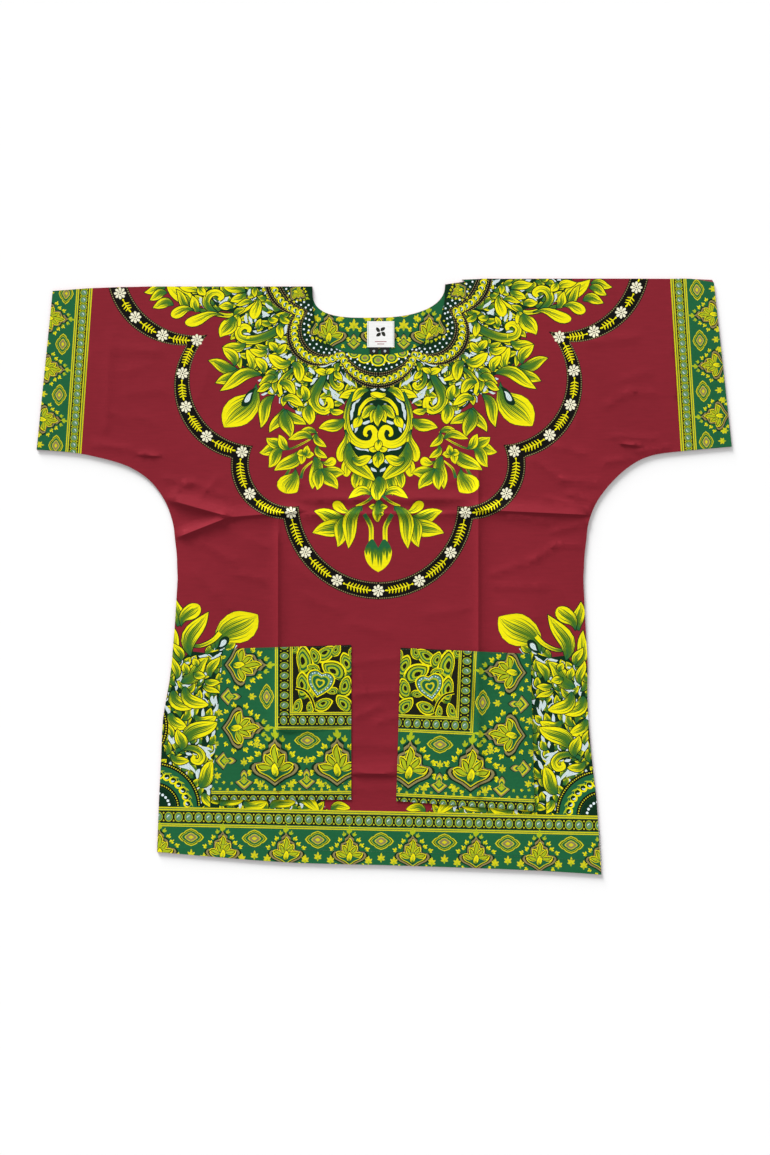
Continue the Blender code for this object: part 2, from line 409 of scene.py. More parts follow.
def crown(pen, size):
    """A small tuft of five blades over a foot, pointing up +v."""
    for turn, reach in ((0, 1.0), (48, 0.78), (-48, 0.78), (98, 0.60), (-98, 0.60)):
        pen.leaf((0, 0), toward(turn) * size * reach * 0.72, 0.0, size * 0.26, "petal", "gold")
    pen.leaf((0, size * 0.10), (0, -size * 0.42), 0.0, size * 0.22, "petal", "lime")


def bell(pen, size):
    """A khaki-rimmed bell flower, its mouth down."""
    rim = [(0.0, 0.62), (0.12, 0.50), (0.20, 0.32), (0.14, 0.16), (0.26, 0.02), (0.50, -0.10),
           (0.36, -0.24), (0.18, -0.42), (0.0, -0.56)]
    shape = mirrored(catmull(rim, 2))
    for scale, ink in ((1.12, "deep"), (1.0, "khaki"), (0.82, "gold"), (0.60, "green"), (0.40, "lime")):
        pen.fill(shape * size * scale, ink)


# A palmette's right half in shares of its height, its lobes (turn, reach, width) and the tufts round
# it on each side (turn, reach, height), with one more at the top.
PALMETTE_RIM = (
    (0.0, 0.62), (0.04, 0.53), (0.12, 0.47), (0.11, 0.39), (0.21, 0.34), (0.23, 0.24), (0.24, 0.15),
    (0.38, 0.13), (0.44, 0.04), (0.35, -0.08), (0.18, -0.16), (0.0, -0.29),
)
PALMETTE_LOBES = ((0, 0.50, 0.15), (32, 0.36, 0.14), (-32, 0.36, 0.14), (74, 0.37, 0.15), (-74, 0.37, 0.15))
PALMETTE_TUFTS = (
    (13, 0.62, 0.11), (29, 0.52, 0.12), (47, 0.46, 0.12), (66, 0.52, 0.12), (96, 0.50, 0.11),
    (122, 0.42, 0.10), (152, 0.36, 0.08),
)
TOP_TURN = 20             # tufts within this turn of the top are lime


def palmette(pen, size):
    """A tall palmette of a given height: lobes and a bud in an ogee of khaki, ringed by tufts."""
    shape = mirrored(catmull(PALMETTE_RIM, 2))
    for scale, ink in ((1.11, "deep"), (1.0, "khaki"), (0.87, "brown"), (0.79, "gold"), (0.72, "green")):
        pen.fill((shape - (0, 0.06)) * size * scale + (0, 0.06 * size), ink)
    for margin, ink in ((0.0, "yellow"), (-0.022, "brown"), (-0.044, "lime")):
        for turn, reach, width in PALMETTE_LOBES:
            away = toward(turn) * size
            pen.leaf(away * 0.04, away * (reach + margin), 0.0, size * (width + 1.6 * margin), "broad", ink)
    for scale, ink in ((1.0, "deep"), (0.86, "yellow"), (0.40, "gold")):
        bud = size * 0.15 * scale
        pen.leaf((0, -bud), (0, bud), 0.0, bud, "petal", ink)
    sides = [(side * turn, reach, tall) for turn, reach, tall in PALMETTE_TUFTS for side in (1, -1)]
    for turn, reach, tall in [(0, 0.70, 0.15), *sides]:
        foot = toward(turn) * size * (reach - tall * 0.4)
        tuft(pen.at(*foot, -turn), size * tall * 1.3, "lime" if abs(turn) < TOP_TURN else "yellow")
    pen.leaf((0, size * 0.58), (0, size * 0.82), 0.0, size * 0.06, "petal", "lime")


# Each way a border is drawn: pitch of its motifs, their size, distance of the second line from the
# first, pitch, height and width of its beads, and where the lozenges and palmettes stand, in mm.
HEM_STYLE = (81.0, 1.0, 20.8, 12.8, 12.0, 10.0, 36.0, 57.0)
CUFF_STYLE = (65.0, 0.84, 16.4, 9.3, 9.4, 8.8, 31.0, 50.5)


def border(pen, length, phase, field, style):
    """Printed border along +u: line, beads and line, then a green field towards -v with its motifs."""
    pitch, size, gap, bead_pitch, tall, wide, axis, foot = style
    pen.block(0, 2, length, -field, "green")
    bead_row(pen.at(0, -gap / 2), length, bead_pitch, tall, wide)
    double_line(pen, length, 4.4)
    double_line(pen.at(0, -gap), length, 3.8)
    for step in range(-1, int(length / pitch) + 2):
        u = phase + step * pitch
        if u + pitch < 0:
            continue
        lozenge(pen.at(u, -axis), 29 * size, 20 * size)
        palmette(pen.at(u + 0.5 * pitch, -foot), 49.0 * size)
        for side, drop in ((0.0, foot + 2), (-0.20, foot + 6), (0.20, foot + 6)):
            crown(pen.at(u + side * pitch, -drop), 11.0 * size)


ROW_SHARE = 0.8           # rows of a thicket stand this share of its pitch apart


def thicket(pen, patch, pitch, heart, size, width):
    """Leaves and pale gaps that fill a patch, turned away from its heart. Sines of the count stand in
    for chance."""
    patch, heart = np.asarray(patch, float), np.asarray(heart, float)
    low, high = patch.min(0), patch.max(0)
    count = 0
    for row in range(int((high[1] - low[1]) / (pitch * ROW_SHARE)) + 1):
        for column in range(int((high[0] - low[0]) / pitch) + 1):
            count += 1
            sway = math.sin(count * 2.399) + math.sin(row * 1.7 + column * 0.9)
            u = low[0] + (column + 0.5 * (row % 2) + 0.12 * math.sin(count * 1.3)) * pitch
            v = low[1] + row * pitch * ROW_SHARE
            if not inside(np.array([[u, v]]), patch)[0]:
                continue
            away = np.array([u, v]) - heart
            turn = math.atan2(away[1], away[0]) + 0.50 * sway
            along = np.array([math.cos(turn), math.sin(turn)])
            long = size * (0.85 + 0.25 * math.sin(count * 0.7))
            across = left_of(along) * pitch * 0.46
            pen.leaf(across + (u, v) - along * size * 0.34, across + (u, v) + along * size * 0.34,
                     0.08, 4.6, "sliver", "white")
            pen.leaf((u, v) - along * long * 0.5, (u, v) + along * long * 0.5,
                     0.20 * (1 if count % 3 else -1), width, "blade", "yellow", 0.80, 1.25)


# ================================================================ scallop band and collar

# The black band's middle line runs through these cusps from the shoulder in. Each has how far its
# tip moves along u and v for every millimetre that the line is offset outward.
BAND_CUSPS = (
    # u,     v,      du,    dv
    (336.5, 400.0, 1.00, 0.00),
    (231.7, 304.6, 1.23, -0.62),
    (174.1, 160.0, 1.25, -0.72),
    (111.4, 81.9, 0.90, -0.75),
    (-111.4, 81.9, -0.90, -0.75),
)
# How far each scallop swells out from the straight line between its cusps.
BAND_SWELLS = (31.0, 45.0, 26.0, 99.8)
BAND_HALF = 11.2
RIM_OFFSET = 9.7          # the band's dashed rims, from its middle line
SHORTEST_FERN_GAP = 26    # closer flowers have no fern between them
AFTER_FLOWER = 9.5        # plain band between a flower and the fern's foot, and at its tip
BEFORE_FLOWER = 13.5
# Where the flowers stand, from the shoulder to the middle, to the nearest point of the middle line.
BAND_FLOWERS = ((330, 366), (311, 335), (276, 311), (232, 305), (250, 261), (247, 218), (218, 182),
                (174, 160), (164, 106), (111, 82), (92, 33), (52.5, -1), (0, -18))

# The collar border's outer line in the same way, and the point that every lobe swells away from.
COLLAR_CUSPS = (
    (146.0, 386.0, 0.92, 0.00),
    (108.2, 335.9, 0.95, -0.25),
    (49.8, 280.3, 0.22, -0.50),
    (-49.8, 280.3, -0.22, -0.50),
)
COLLAR_SWELLS = (12.0, 37.5, 39.8)
YOKE_HEART = (0.0, 330.0)
MIDDLE_MARGIN = 0.3       # points of a half line closer to the middle than this are left out


def lobed_line(cusps, swells, offset, steps=26):
    """One side of a lobed line, from the shoulder to the middle, moved outward by the offset."""
    parts = []
    for first, last, swell in zip(cusps, cusps[1:], swells):
        plain_start, plain_end = np.array(first[:2]), np.array(last[:2])
        start = plain_start + offset * np.array(first[2:])
        end = plain_end + offset * np.array(last[2:])
        along = (plain_end - plain_start) / np.linalg.norm(plain_end - plain_start)
        middle = 0.5 * (plain_start + plain_end)
        outward = np.array([along[1], -along[0]])
        if outward @ (middle - YOKE_HEART) < 0:
            outward = -outward
        depth = (middle + outward * (swell + offset) - 0.5 * (start + end)) @ outward
        swell = depth if left_of(along) @ outward > 0 else -depth
        parts.append(bulged(start, end, swell, steps)[:-1])
    line = np.vstack(parts)
    line = line[line[:, 0] > MIDDLE_MARGIN]
    bottom = parts[-1][np.abs(parts[-1][:, 0]).argmin()]
    return np.vstack([line, [(0.0, bottom[1])]])


def lobed_fill(pen, cusps, swells, offset, ink):
    """All within a lobed line and its mirror image."""
    line = lobed_line(cusps, swells, offset)
    pen.fill(np.vstack([line, line[-2::-1] * (-1, 1)]), ink)


def scallop_band(pen):
    """The black band with its lobes, and the maroon within it."""
    for offset, ink in ((BAND_HALF, "black"), (-BAND_HALF, "maroon")):
        lobed_fill(pen, BAND_CUSPS, BAND_SWELLS, offset, ink)


def band_trim(pen, side):
    """Dashed rims, flowers at the cusps and along the scallops, and ferns between them."""
    for offset in (-RIM_OFFSET, RIM_OFFSET):
        dashes(pen, lobed_line(BAND_CUSPS, BAND_SWELLS, offset))
    line = lobed_line(BAND_CUSPS, BAND_SWELLS, 0.0, 60)
    reach = run_along(line)
    stops = []
    for place in BAND_FLOWERS:
        nearest = np.linalg.norm(line - place, axis=1).argmin()
        stops.append(reach[nearest])
        if place[0] > 0 or side > 0:
            flower(pen, *line[nearest])
    fern(pen, cut_line(line, 0.0, stops[0] - 12.0))
    for start, end in zip(stops, stops[1:]):
        if end - start > SHORTEST_FERN_GAP:
            fern(pen, cut_line(line, start + AFTER_FLOWER, end - BEFORE_FLOWER))


def collar_border(pen):
    """Lobed border round the neck: black rim, green chain band, black rim and dark inner ground."""
    for offset, ink in ((0.0, "black"), (-4.8, "deep"), (-16.6, "black"), (-20.4, "deep")):
        lobed_fill(pen, COLLAR_CUSPS, COLLAR_SWELLS, offset, ink)


def collar_trim(pen, side):
    """Dashed rims, a chain of links, white dots and small palmettes of the collar."""
    for offset in (-0.9, -4.3, -17.1, -20.0):
        dashes(pen, lobed_line(COLLAR_CUSPS, COLLAR_SWELLS, offset), 1.0)
    feet, heads = even_points(lobed_line(COLLAR_CUSPS, COLLAR_SWELLS, -10.6, 60), 7.5, 0.0, -3.7)
    for foot, ahead in zip(feet, heads):
        if foot[0] < 0.5 and side < 0:
            continue
        ring = pen.at(*foot, math.degrees(math.atan2(ahead[1], ahead[0])))
        ring.disc(0, 0, 3.9, "yellow", 12, 1.18)
        ring.disc(0.5, 0.2, 2.7, "green", 10, 1.25)
        ring.leaf((-1.2, -1.8), (1.4, 2.0), 0.25, 1.7, "sliver", "white")
        ring.leaf((2.8, -5.0), (4.8, 5.0), 0.15, 1.5, "blade", "yellow", 0.5)
    for offset, shift in ((-24.2, 0.0), (-30.4, 3.5)):
        feet, _ = even_points(lobed_line(COLLAR_CUSPS, COLLAR_SWELLS, offset, 60), 7.0, shift, -shift)
        for foot in feet:
            pen.disc(*foot, 1.35, "white", 8)
    for u, v, turn, size in ((74, 320, 150, 34), (106, 366, 120, 26), (54, 338, -30, 18)):
        palmette(pen.at(u, v, turn), size)
    for u, v, radius in ((31, 286, 8), (17, 280, 9), (0, 277, 10)):
        if u == 0 and side < 0:
            continue
        for part, ink in ((1.0, "yellow"), (0.78, "green"), (0.55, "lime"), (0.30, "khaki")):
            pen.disc(u, v, radius * part, ink, 14, 0.8)


# ================================================================ foliage of the yoke

# Leaves of one side: base, tip, bow, width, form, and how deep the green runs up from the base.
# The dense ones come first, in the order they overlap.
YOKE_LEAVES = (
    # along the shoulder
    (272, 372, 299, 367, 0.05, 9, "blade", 0.5), (270, 366, 292, 357, 0.10, 10, "blade", 0.6),
    (262, 350, 288, 347, 0.16, 11, "blade", 0.6), (238, 343, 271, 377, 0.08, 16, "blade", 0.4),
    (240, 345, 258, 370, -0.05, 9, "blade", 0.6), (228, 342, 238, 362, -0.10, 10, "blade", 0.5),
    (236, 343, 265, 337, 0.10, 12, "drop", 0.5), (198, 336, 247, 327, 0.06, 12, "paddle", 0.4),
    (230, 366, 254, 373, 0.10, 9, "blade", 0.3), (228, 374, 221, 362, 0.10, 9, "blade", 0.4),
    (186, 345, 204, 348, 0.10, 9, "blade", 0.5), (170, 366, 198, 373, 0.05, 10, "blade", 0.5),
    (170, 365, 189, 354, -0.10, 10, "blade", 0.5), (160, 352, 182, 349, 0.10, 6, "blade", 0.5),
    (156, 372, 158, 359, 0.10, 6, "blade", 0.5), (184, 335, 170, 346, -0.12, 6, "blade", 0.7),
    (155, 359, 159, 331, -0.06, 12, "drop", 0.4), (178, 337, 177, 322, 0.20, 9, "petal", 0.3),
    (186, 335, 202, 308, -0.05, 17, "blade", 0.55),
    # side of the collar
    (170, 300, 198, 296, -0.12, 11, "blade", 0.5), (184, 271, 199, 295, 0.16, 12, "blade", 0.5),
    (181, 268, 217, 278, -0.06, 13, "blade", 0.75), (179, 267, 208, 249, -0.12, 13, "blade", 0.7),
    (165, 264, 168, 292, 0.18, 10, "petal", 0.4), (148, 262, 157, 281, 0.20, 10, "petal", 0.4),
    (112, 276, 140, 285, -0.20, 12, "petal", 0.4), (142, 291, 164, 292, -0.20, 8, "petal", 0.4),
    (131, 288, 139, 301, 0.10, 9, "petal", 0.5), (131, 289, 117, 298, 0.10, 8, "petal", 0.5),
    (124, 324, 124, 306, 0.10, 8, "petal", 0.4), (124, 336, 112, 326, 0.20, 7, "petal", 0.6),
    (140, 333, 128, 330, 0.20, 7, "petal", 0.5), (152, 318, 150, 331, -0.20, 6, "petal", 0.5),
    (150, 259, 202, 239, 0.13, 14, "blade", 0.5), (130, 262, 146, 256, 0.10, 8, "blade", 0.6),
    (131, 256, 153, 246, 0.05, 10, "blade", 0.6), (136, 246, 155, 238, 0.05, 8, "blade", 0.5),
    (133, 232, 150, 191, 0.10, 13, "blade", 0.6),
    (121, 216, 139, 185, -0.06, 12, "blade", 0.6), (117, 214, 92, 195, 0.10, 11, "blade", 0.6),
    (118, 214, 112, 178, 0.06, 15, "blade", 0.75),
    # under the collar
    (110, 274, 100, 250, -0.16, 12, "petal", 0.5), (126, 248, 107, 233, -0.22, 10, "petal", 0.5),
    (122, 226, 96, 219, -0.20, 9, "petal", 0.4), (96, 226, 97, 245, 0.20, 10, "petal", 0.5),
    (66, 257, 81, 265, 0.12, 8, "blade", 0.3), (66, 258, 56, 267, -0.10, 6, "blade", 0.3),
    (87, 219, 88, 195, 0.05, 14, "petal", 0.5), (54, 264, 46, 252, 0.10, 7, "blade", 0.4),
    (20, 241, 50, 229, -0.05, 11, "blade", 0.4), (61, 215, 44, 211, 0.15, 7, "petal", 0.4),
)
# Curling ribbons of the foliage: points along each, with the width there.
YOKE_CURLS = (
    ((250, 349, 2), (226, 343, 4), (206, 338, 5), (188, 336, 5), (170, 343, 4), (155, 353, 3)),
    ((205, 338, 3), (214, 344, 7), (220, 353, 9), (216, 363, 9), (207, 366, 8), (200, 361, 7), (204, 356, 4)),
    ((120, 328, 5), (130, 316, 9), (146, 308, 10), (162, 304, 11), (176, 307, 9), (179, 316, 8),
     (172, 322, 7), (165, 319, 6), (166, 314, 4)),
    ((176, 267, 4), (163, 263, 4), (146, 263, 3), (128, 268, 3)),
    ((90, 268, 4), (96, 262, 6), (95, 255, 7), (84, 251, 3)),
    ((66, 264, 4), (73, 250, 9), (80, 238, 13), (83, 226, 13), (78, 216, 10), (68, 212, 9), (61, 218, 8),
     (62, 226, 7), (67, 227, 5)),
    ((58, 264, 3), (60, 252, 5), (56, 244, 6), (50, 241, 6), (46, 245, 5), (49, 248, 3)),
    ((106, 268, 3), (118, 258, 6), (126, 246, 6), (124, 234, 4)),
)
# Pale gaps: both ends, and width.
YOKE_SLIVERS = (
    (241, 367, 243, 357, 5), (254, 367, 246, 371, 3), (222, 345, 228, 360, 7), (203, 351, 191, 360, 6),
    (163, 370, 166, 361, 4), (184, 351, 171, 357, 3), (176, 346, 164, 352, 3), (168, 338, 169, 324, 4),
    (163, 337, 162, 324, 4), (157, 332, 153, 322, 4), (148, 342, 140, 334, 5), (144, 352, 134, 342, 4),
    (172, 313, 163, 310, 5), (155, 313, 147, 311, 3), (184, 291, 180, 280, 4), (180, 292, 177, 281, 4),
    (163, 284, 163, 271, 4), (159, 284, 159, 272, 4), (147, 284, 143, 272, 5), (141, 282, 141, 273, 4),
    (141, 293, 142, 285, 3), (128, 303, 118, 301, 4), (131, 306, 124, 299, 4), (126, 284, 118, 286, 3),
    (119, 281, 110, 284, 3), (116, 325, 120, 311, 6), (134, 322, 128, 318, 3), (140, 261, 127, 266, 4),
    (124, 262, 127, 249, 4), (154, 252, 148, 253, 3), (156, 246, 154, 237, 4), (150, 234, 141, 236, 3),
    (137, 242, 135, 235, 4), (110, 246, 103, 240, 4), (106, 249, 100, 244, 4), (105, 272, 101, 260, 4),
    (101, 270, 97, 261, 3), (88, 269, 81, 259, 5), (77, 272, 58, 273, 5), (74, 229, 70, 219, 5),
    (48, 263, 35, 244, 5), (43, 256, 29, 243, 4), (62, 244, 52, 232, 4), (60, 238, 43, 221, 5),
    (54, 236, 40, 227, 4), (113, 229, 103, 229, 3), (112, 225, 104, 225, 3), (106, 213, 95, 208, 4),
    (104, 208, 96, 204, 3), (92, 223, 91, 213, 3), (33, 236, 24, 228, 3), (70, 243, 66, 234, 3),
)
# Dark ground behind the dense leaves of one side.
YOKE_GROUND = (
    (250, 384), (244, 362), (230, 350), (205, 342), (186, 340), (178, 330), (186, 312), (182, 302),
    (184, 290), (180, 276), (164, 264), (148, 256), (150, 242), (142, 234), (126, 232), (114, 218),
    (98, 208), (84, 204), (74, 214), (52, 214), (40, 226), (30, 240), (0, 244), (0, 300), (60, 384),
)
YOKE_PADDLE = (156, 248, 197, 192, -0.08, 33, "broad", 0.55)


def paddle_heart(pen, base, tip, width):
    """The dark throat of a broad leaf, with a pale drop in it."""
    base, along = np.array(base, float), np.array(tip, float) - base
    for start, end, share, ink in ((-0.08, 0.60, 0.34, "deep"), (0.10, 0.46, 0.20, "white")):
        pen.leaf(base + along * start, base + along * end, 0.0, width * share, "drop", ink)


def yoke_foliage(pen):
    """The dense foliage between the collar and the scallops, one side."""
    pen.fill(YOKE_GROUND, "deep")
    thicket(pen, YOKE_GROUND, 13.0, (20, 350), 19.0, 8.0)
    draw_slivers(pen, YOKE_SLIVERS)
    draw_leaves(pen, (YOKE_PADDLE,))
    paddle_heart(pen, (158, 240), (186, 206), 32)
    draw_curls(pen, YOKE_CURLS, 2.6, 0.62)
    draw_leaves(pen, YOKE_LEAVES, 1.1)


# The medallion under the collar, one side: its ground, its great curl with the frame it grows from,
# and its leaves from the back to the front.
MEDALLION_GROUND = ((0, 246), (26, 240), (40, 224), (43, 196), (40, 170), (30, 146), (16, 126), (0, 112))
MEDALLION_CURLS = (
    ((0, 229, 4.0), (13, 226, 4.5), (22, 216, 4.5), (25, 206, 2.5)),
    ((31, 236, 4), (38, 220, 6), (41, 202, 7), (38, 186, 8.5), (30, 174, 10), (18, 169, 10), (7.5, 172, 9),
     (3.6, 182, 8), (8, 190.5, 6.5), (15, 189, 5.5), (17, 182.5, 4.5), (13.5, 180, 3)),
)
MEDALLION_LEAVES = (
    (30, 138, 29, 112, -0.06, 12, "blade", 0.6), (17, 132, 18, 104, -0.04, 14, "blade", 0.6),
    (42, 188, 48, 147, -0.05, 12, "drop", 0.45), (38, 164, 40, 128, -0.02, 12, "drop", 0.5),
    (37, 172, 3, 122, 0.15, 17, "blade", 0.62), (33, 152, 9, 154, 0.20, 11, "petal", 0.4),
    (2, 216, 22, 202, 0.12, 10, "blade", 0.6), (1, 214, 10, 197, 0.05, 8, "blade", 0.5),
    (25, 206, 31, 190, -0.10, 10, "blade", 0.3), (12, 238, 34, 224, 0.16, 9, "blade", 0.5),
    (10, 234, -10, 234, 0.08, 6, "petal", 0.1), (2, 166, 12, 163, -0.20, 6, "petal", 0.3),
    (44, 202, 76, 190, -0.08, 14, "blade", 0.55),
)
MEDALLION_MIDDLE = (
    (0, 220, 0, 192, 0.0, 11, "blade", 0.75), (0, 175, 0, 161, 0.0, 8, "petal", 0.3),
    (0, 160, 0, 139, 0.0, 13, "blade", 0.5), (0, 128, 0, 97, 0.0, 16, "petal", 0.7),
)
MEDALLION_SLIVERS = (
    (22, 197, 8, 199, 4), (24, 196, 30, 184, 4), (14, 222, 24, 208, 4), (28, 224, 34, 208, 4),
    (12, 160, 30, 166, 5), (14, 146, 6, 150, 4), (9, 140, 2, 134, 4), (10, 239, 2, 240, 3),
    (20, 232, 29, 222, 4), (31, 216, 35, 200, 4), (7, 221, 17, 212, 3), (32, 196, 34, 184, 4),
)
SPRIG_STEMS = (
    ((126, 162, 1.6), (112, 164, 2.2), (98, 170, 2.4), (86, 177, 2.0), (78, 185, 1.2)),
    ((79, 185, 1.2), (77, 166, 2.2), (75, 150, 2.4), (71, 134, 2.0)),
    ((120, 126, 4), (112, 140, 3), (104, 153, 2)), ((99, 126, 4), (95, 138, 3), (84, 148, 2)),
)
SPRIG_LEAVES = (
    (79, 184, 104, 182, 0.16, 8, "blade", 0.5), (84, 176, 115, 176, 0.18, 9, "blade", 0.5),
    (122, 164, 152, 159, 0.06, 13, "blade", 0.6), (124, 163, 143, 178, 0.05, 12, "blade", 0.6),
    (122, 164, 140, 140, 0.05, 13, "blade", 0.6), (114, 164, 127, 182, -0.10, 10, "blade", 0.45),
    (98, 164, 133, 136, -0.10, 15, "blade", 0.6), (82, 154, 84, 112, -0.08, 14, "blade", 0.6),
    (94, 160, 99, 144, 0.05, 9, "blade", 0.45), (94, 158, 82, 156, 0.05, 8, "blade", 0.5),
    (94, 158, 104, 158, 0.05, 8, "blade", 0.5), (94, 156, 90, 168, 0.05, 8, "blade", 0.5),
    (79, 184, 66, 166, 0.20, 8, "blade", 0.5), (78, 168, 65, 152, 0.20, 8, "blade", 0.5),
    (73, 148, 54, 149, 0.15, 10, "paddle", 0.4), (73, 138, 43, 132, 0.06, 14, "blade", 0.65),
    (72, 138, 52, 112, 0.02, 14, "blade", 0.65), (73, 138, 78, 111, 0.05, 13, "blade", 0.6),
)
SPRIG_DROP = (106, 139, 119, 107, -0.05, 25, "paddle", 0.6)
FOOT_STEMS = (
    ((20, 86, 4), (30, 86, 4.5), (38, 81, 5), (44, 73, 5)), ((5, 104, 3.5), (15, 96, 3.5), (28, 90, 3)),
    ((18, 80, 5), (13, 72, 6), (9, 62, 6), (9, 44, 6)),
)
FOOT_LEAVES = (
    (8, 104, 38, 100, 0.26, 10, "blade", 0.35), (33, 84, 58, 94, -0.10, 11, "paddle", 0.35),
    (40, 76, 82, 84, -0.08, 16, "blade", 0.6), (41, 76, 84, 56, -0.10, 19, "blade", 0.6),
    (41, 77, 52, 38, 0.03, 15, "blade", 0.6), (20, 90, 38, 36, 0.14, 16, "blade", 0.55),
)
FOOT_MIDDLE = (
    (0, 98, 0, 70, 0.0, 12, "petal", 0.85),
    (2, 88, 12, 90, 0.05, 6, "blade", 0.6), (2, 80, 7, 80, 0.05, 5, "blade", 0.6),
)


def medallion(pen, side):
    """One half of the medallion. What stands on the middle line is drawn once."""
    pen.fill(MEDALLION_GROUND, "deep")
    draw_slivers(pen, MEDALLION_SLIVERS)
    draw_curls(pen, MEDALLION_CURLS, 2.0, 0.30)
    draw_leaves(pen, MEDALLION_LEAVES, 0.9)
    if side > 0:
        draw_leaves(pen, MEDALLION_MIDDLE, 0.9)


def sprigs(pen, side):
    """The sprigs beside and below the medallion, and one half of the bud at its foot."""
    for row in SPRIG_STEMS + FOOT_STEMS:
        pen.curve([point[:2] for point in row], [point[2] for point in row], "yellow", LEAF, 0.8)
    draw_leaves(pen, (SPRIG_DROP, *SPRIG_LEAVES, *FOOT_LEAVES))
    draw_leaves(pen, FOOT_MIDDLE if side > 0 else FOOT_MIDDLE[1:])
    half = [(0, 37), (7, 48), (14, 42), (17.5, 32), (15, 20), (8, 11), (0, 6)]
    outline = catmull(half, 3)
    spine = np.column_stack([np.zeros(8), np.linspace(40, 5, 8)])
    pen.fill(np.vstack([outline, [(0, 37)]]), "yellow", LEAF, spine, [17.0] * 8, 0.55)


# ================================================================ foliage of the lower sides

SIDE_GROUND = (
    (280, -140), (262, -100), (250, -108), (240, -98), (222, -100), (205, -86), (196, -78), (184, -84),
    (188, -100), (196, -300), (280, -300),
)
SIDE_PADDLE = (208, -96, 154, -50, -0.08, 36, "broad", 0.55)
SIDE_LEAVES = (
    (257, -66, 259, -30, 0.05, 13, "blade", 0.6), (252, -66, 229, -38, -0.10, 17, "drop", 0.6),
    (252, -112, 262, -66, -0.10, 12, "blade", 0.5), (240, -104, 217, -47, -0.14, 18, "blade", 0.55),
    (252, -110, 262, -88, 0.10, 9, "blade", 0.5), (258, -134, 264, -104, 0.06, 9, "blade", 0.5),
    (252, -138, 217, -106, 0.04, 17, "blade", 0.7), (246, -128, 248, -113, 0.05, 9, "blade", 0.5),
    (232, -118, 236, -107, 0.05, 8, "blade", 0.5), (236, -126, 221, -131, 0.05, 9, "blade", 0.5),
    (214, -131, 202, -105, -0.15, 10, "blade", 0.6), (222, -135, 202, -138, 0.10, 8, "blade", 0.5),
    (224, -141, 202, -152, 0.05, 6, "blade", 0.4),
    (262, -149, 237, -171, 0.24, 15, "petal", 0.5), (247, -144, 217, -167, 0.26, 14, "petal", 0.5),
    (234, -181, 207, -182, 0.26, 11, "petal", 0.5), (265, -178, 245, -197, 0.22, 14, "petal", 0.5),
    (248, -217, 206, -190, -0.10, 18, "petal", 0.6), (252, -226, 257, -199, 0.08, 13, "blade", 0.6),
    (264, -232, 242, -240, 0.18, 9, "petal", 0.6), (229, -273, 212, -240, 0.04, 15, "petal", 0.6),
    (222, -281, 214, -299, 0.05, 10, "petal", 0.5), (264, -210, 270, -190, 0.05, 7, "blade", 0.5),
)
SIDE_CURLS = (
    ((258, -227, 4), (246, -223, 6), (232, -225, 8), (225, -233, 8), (229, -241, 8), (237, -239, 6),
     (235, -233, 4)),
    ((244, -90, 2), (228, -91, 4), (212, -84, 5), (202, -74, 6)),
)
SIDE_SLIVERS = (
    (210, -96, 204, -89, 4), (207, -104, 200, -99, 3), (230, -104, 217, -103, 4),
    (239, -112, 235, -105, 4), (247, -113, 241, -113, 3), (258, -136, 251, -121, 6),
    (216, -120, 212, -109, 4), (226, -128, 217, -126, 4), (228, -138, 225, -131, 3),
    (251, -142, 235, -139, 4), (234, -155, 232, -172, 5), (229, -156, 227, -171, 4),
    (240, -155, 236, -166, 3), (212, -155, 210, -169, 5), (207, -155, 207, -168, 4),
    (262, -162, 258, -170, 6), (255, -165, 249, -175, 5), (236, -172, 238, -183, 4),
    (266, -205, 264, -219, 5), (269, -190, 256, -194, 5), (259, -190, 249, -199, 5),
    (230, -218, 212, -226, 4), (223, -222, 214, -232, 4), (219, -228, 214, -238, 4),
    (246, -229, 238, -232, 4), (259, -240, 240, -252, 4), (251, -240, 236, -252, 4),
    (244, -238, 233, -257, 4), (228, -250, 232, -263, 6), (224, -283, 227, -295, 5),
    (206, -286, 210, -297, 4), (216, -272, 220, -278, 3),
)
# Yellow petals that show between the pockets and the border, one side.
FOOT_PETALS = (
    (202, -297, 172, -288, -0.12, 13, "petal", 0.6), (172, -291, 142, -291, 0.20, 12, "petal", 0.5),
    (138, -299, 106, -290, -0.10, 11, "petal", 0.6), (104, -288, 76, -300, -0.16, 12, "petal", 0.5),
    (60, -300, 36, -297, -0.20, 9, "petal", 0.5),
)
FOOT_SLIVERS = ((112, -284, 103, -293, 4), (120, -284, 112, -290, 3), (140, -285, 134, -293, 3))


def dotted_arc(pen, centre, radius, first, last):
    """A black arc with gold dots along it, its angles in degrees."""
    line = arc(centre, radius, first, last, 20)
    pen.stroke(line, 5.4, "black")
    steps = int(math.radians(abs(last - first)) * radius / 3.0)
    for step in range(steps):
        pen.disc(*arc(centre, radius, first + (last - first) * (step + 0.5) / steps, first, 1)[0],
                 0.95, "gold", 6)


# The round medallion low at the side seam: centre and radii of its rings, from the edge in.
SIDE_CENTRE = (285.0, -300.0)
SIDE_RINGS = (58, 56, 41, 29, 26, 18)


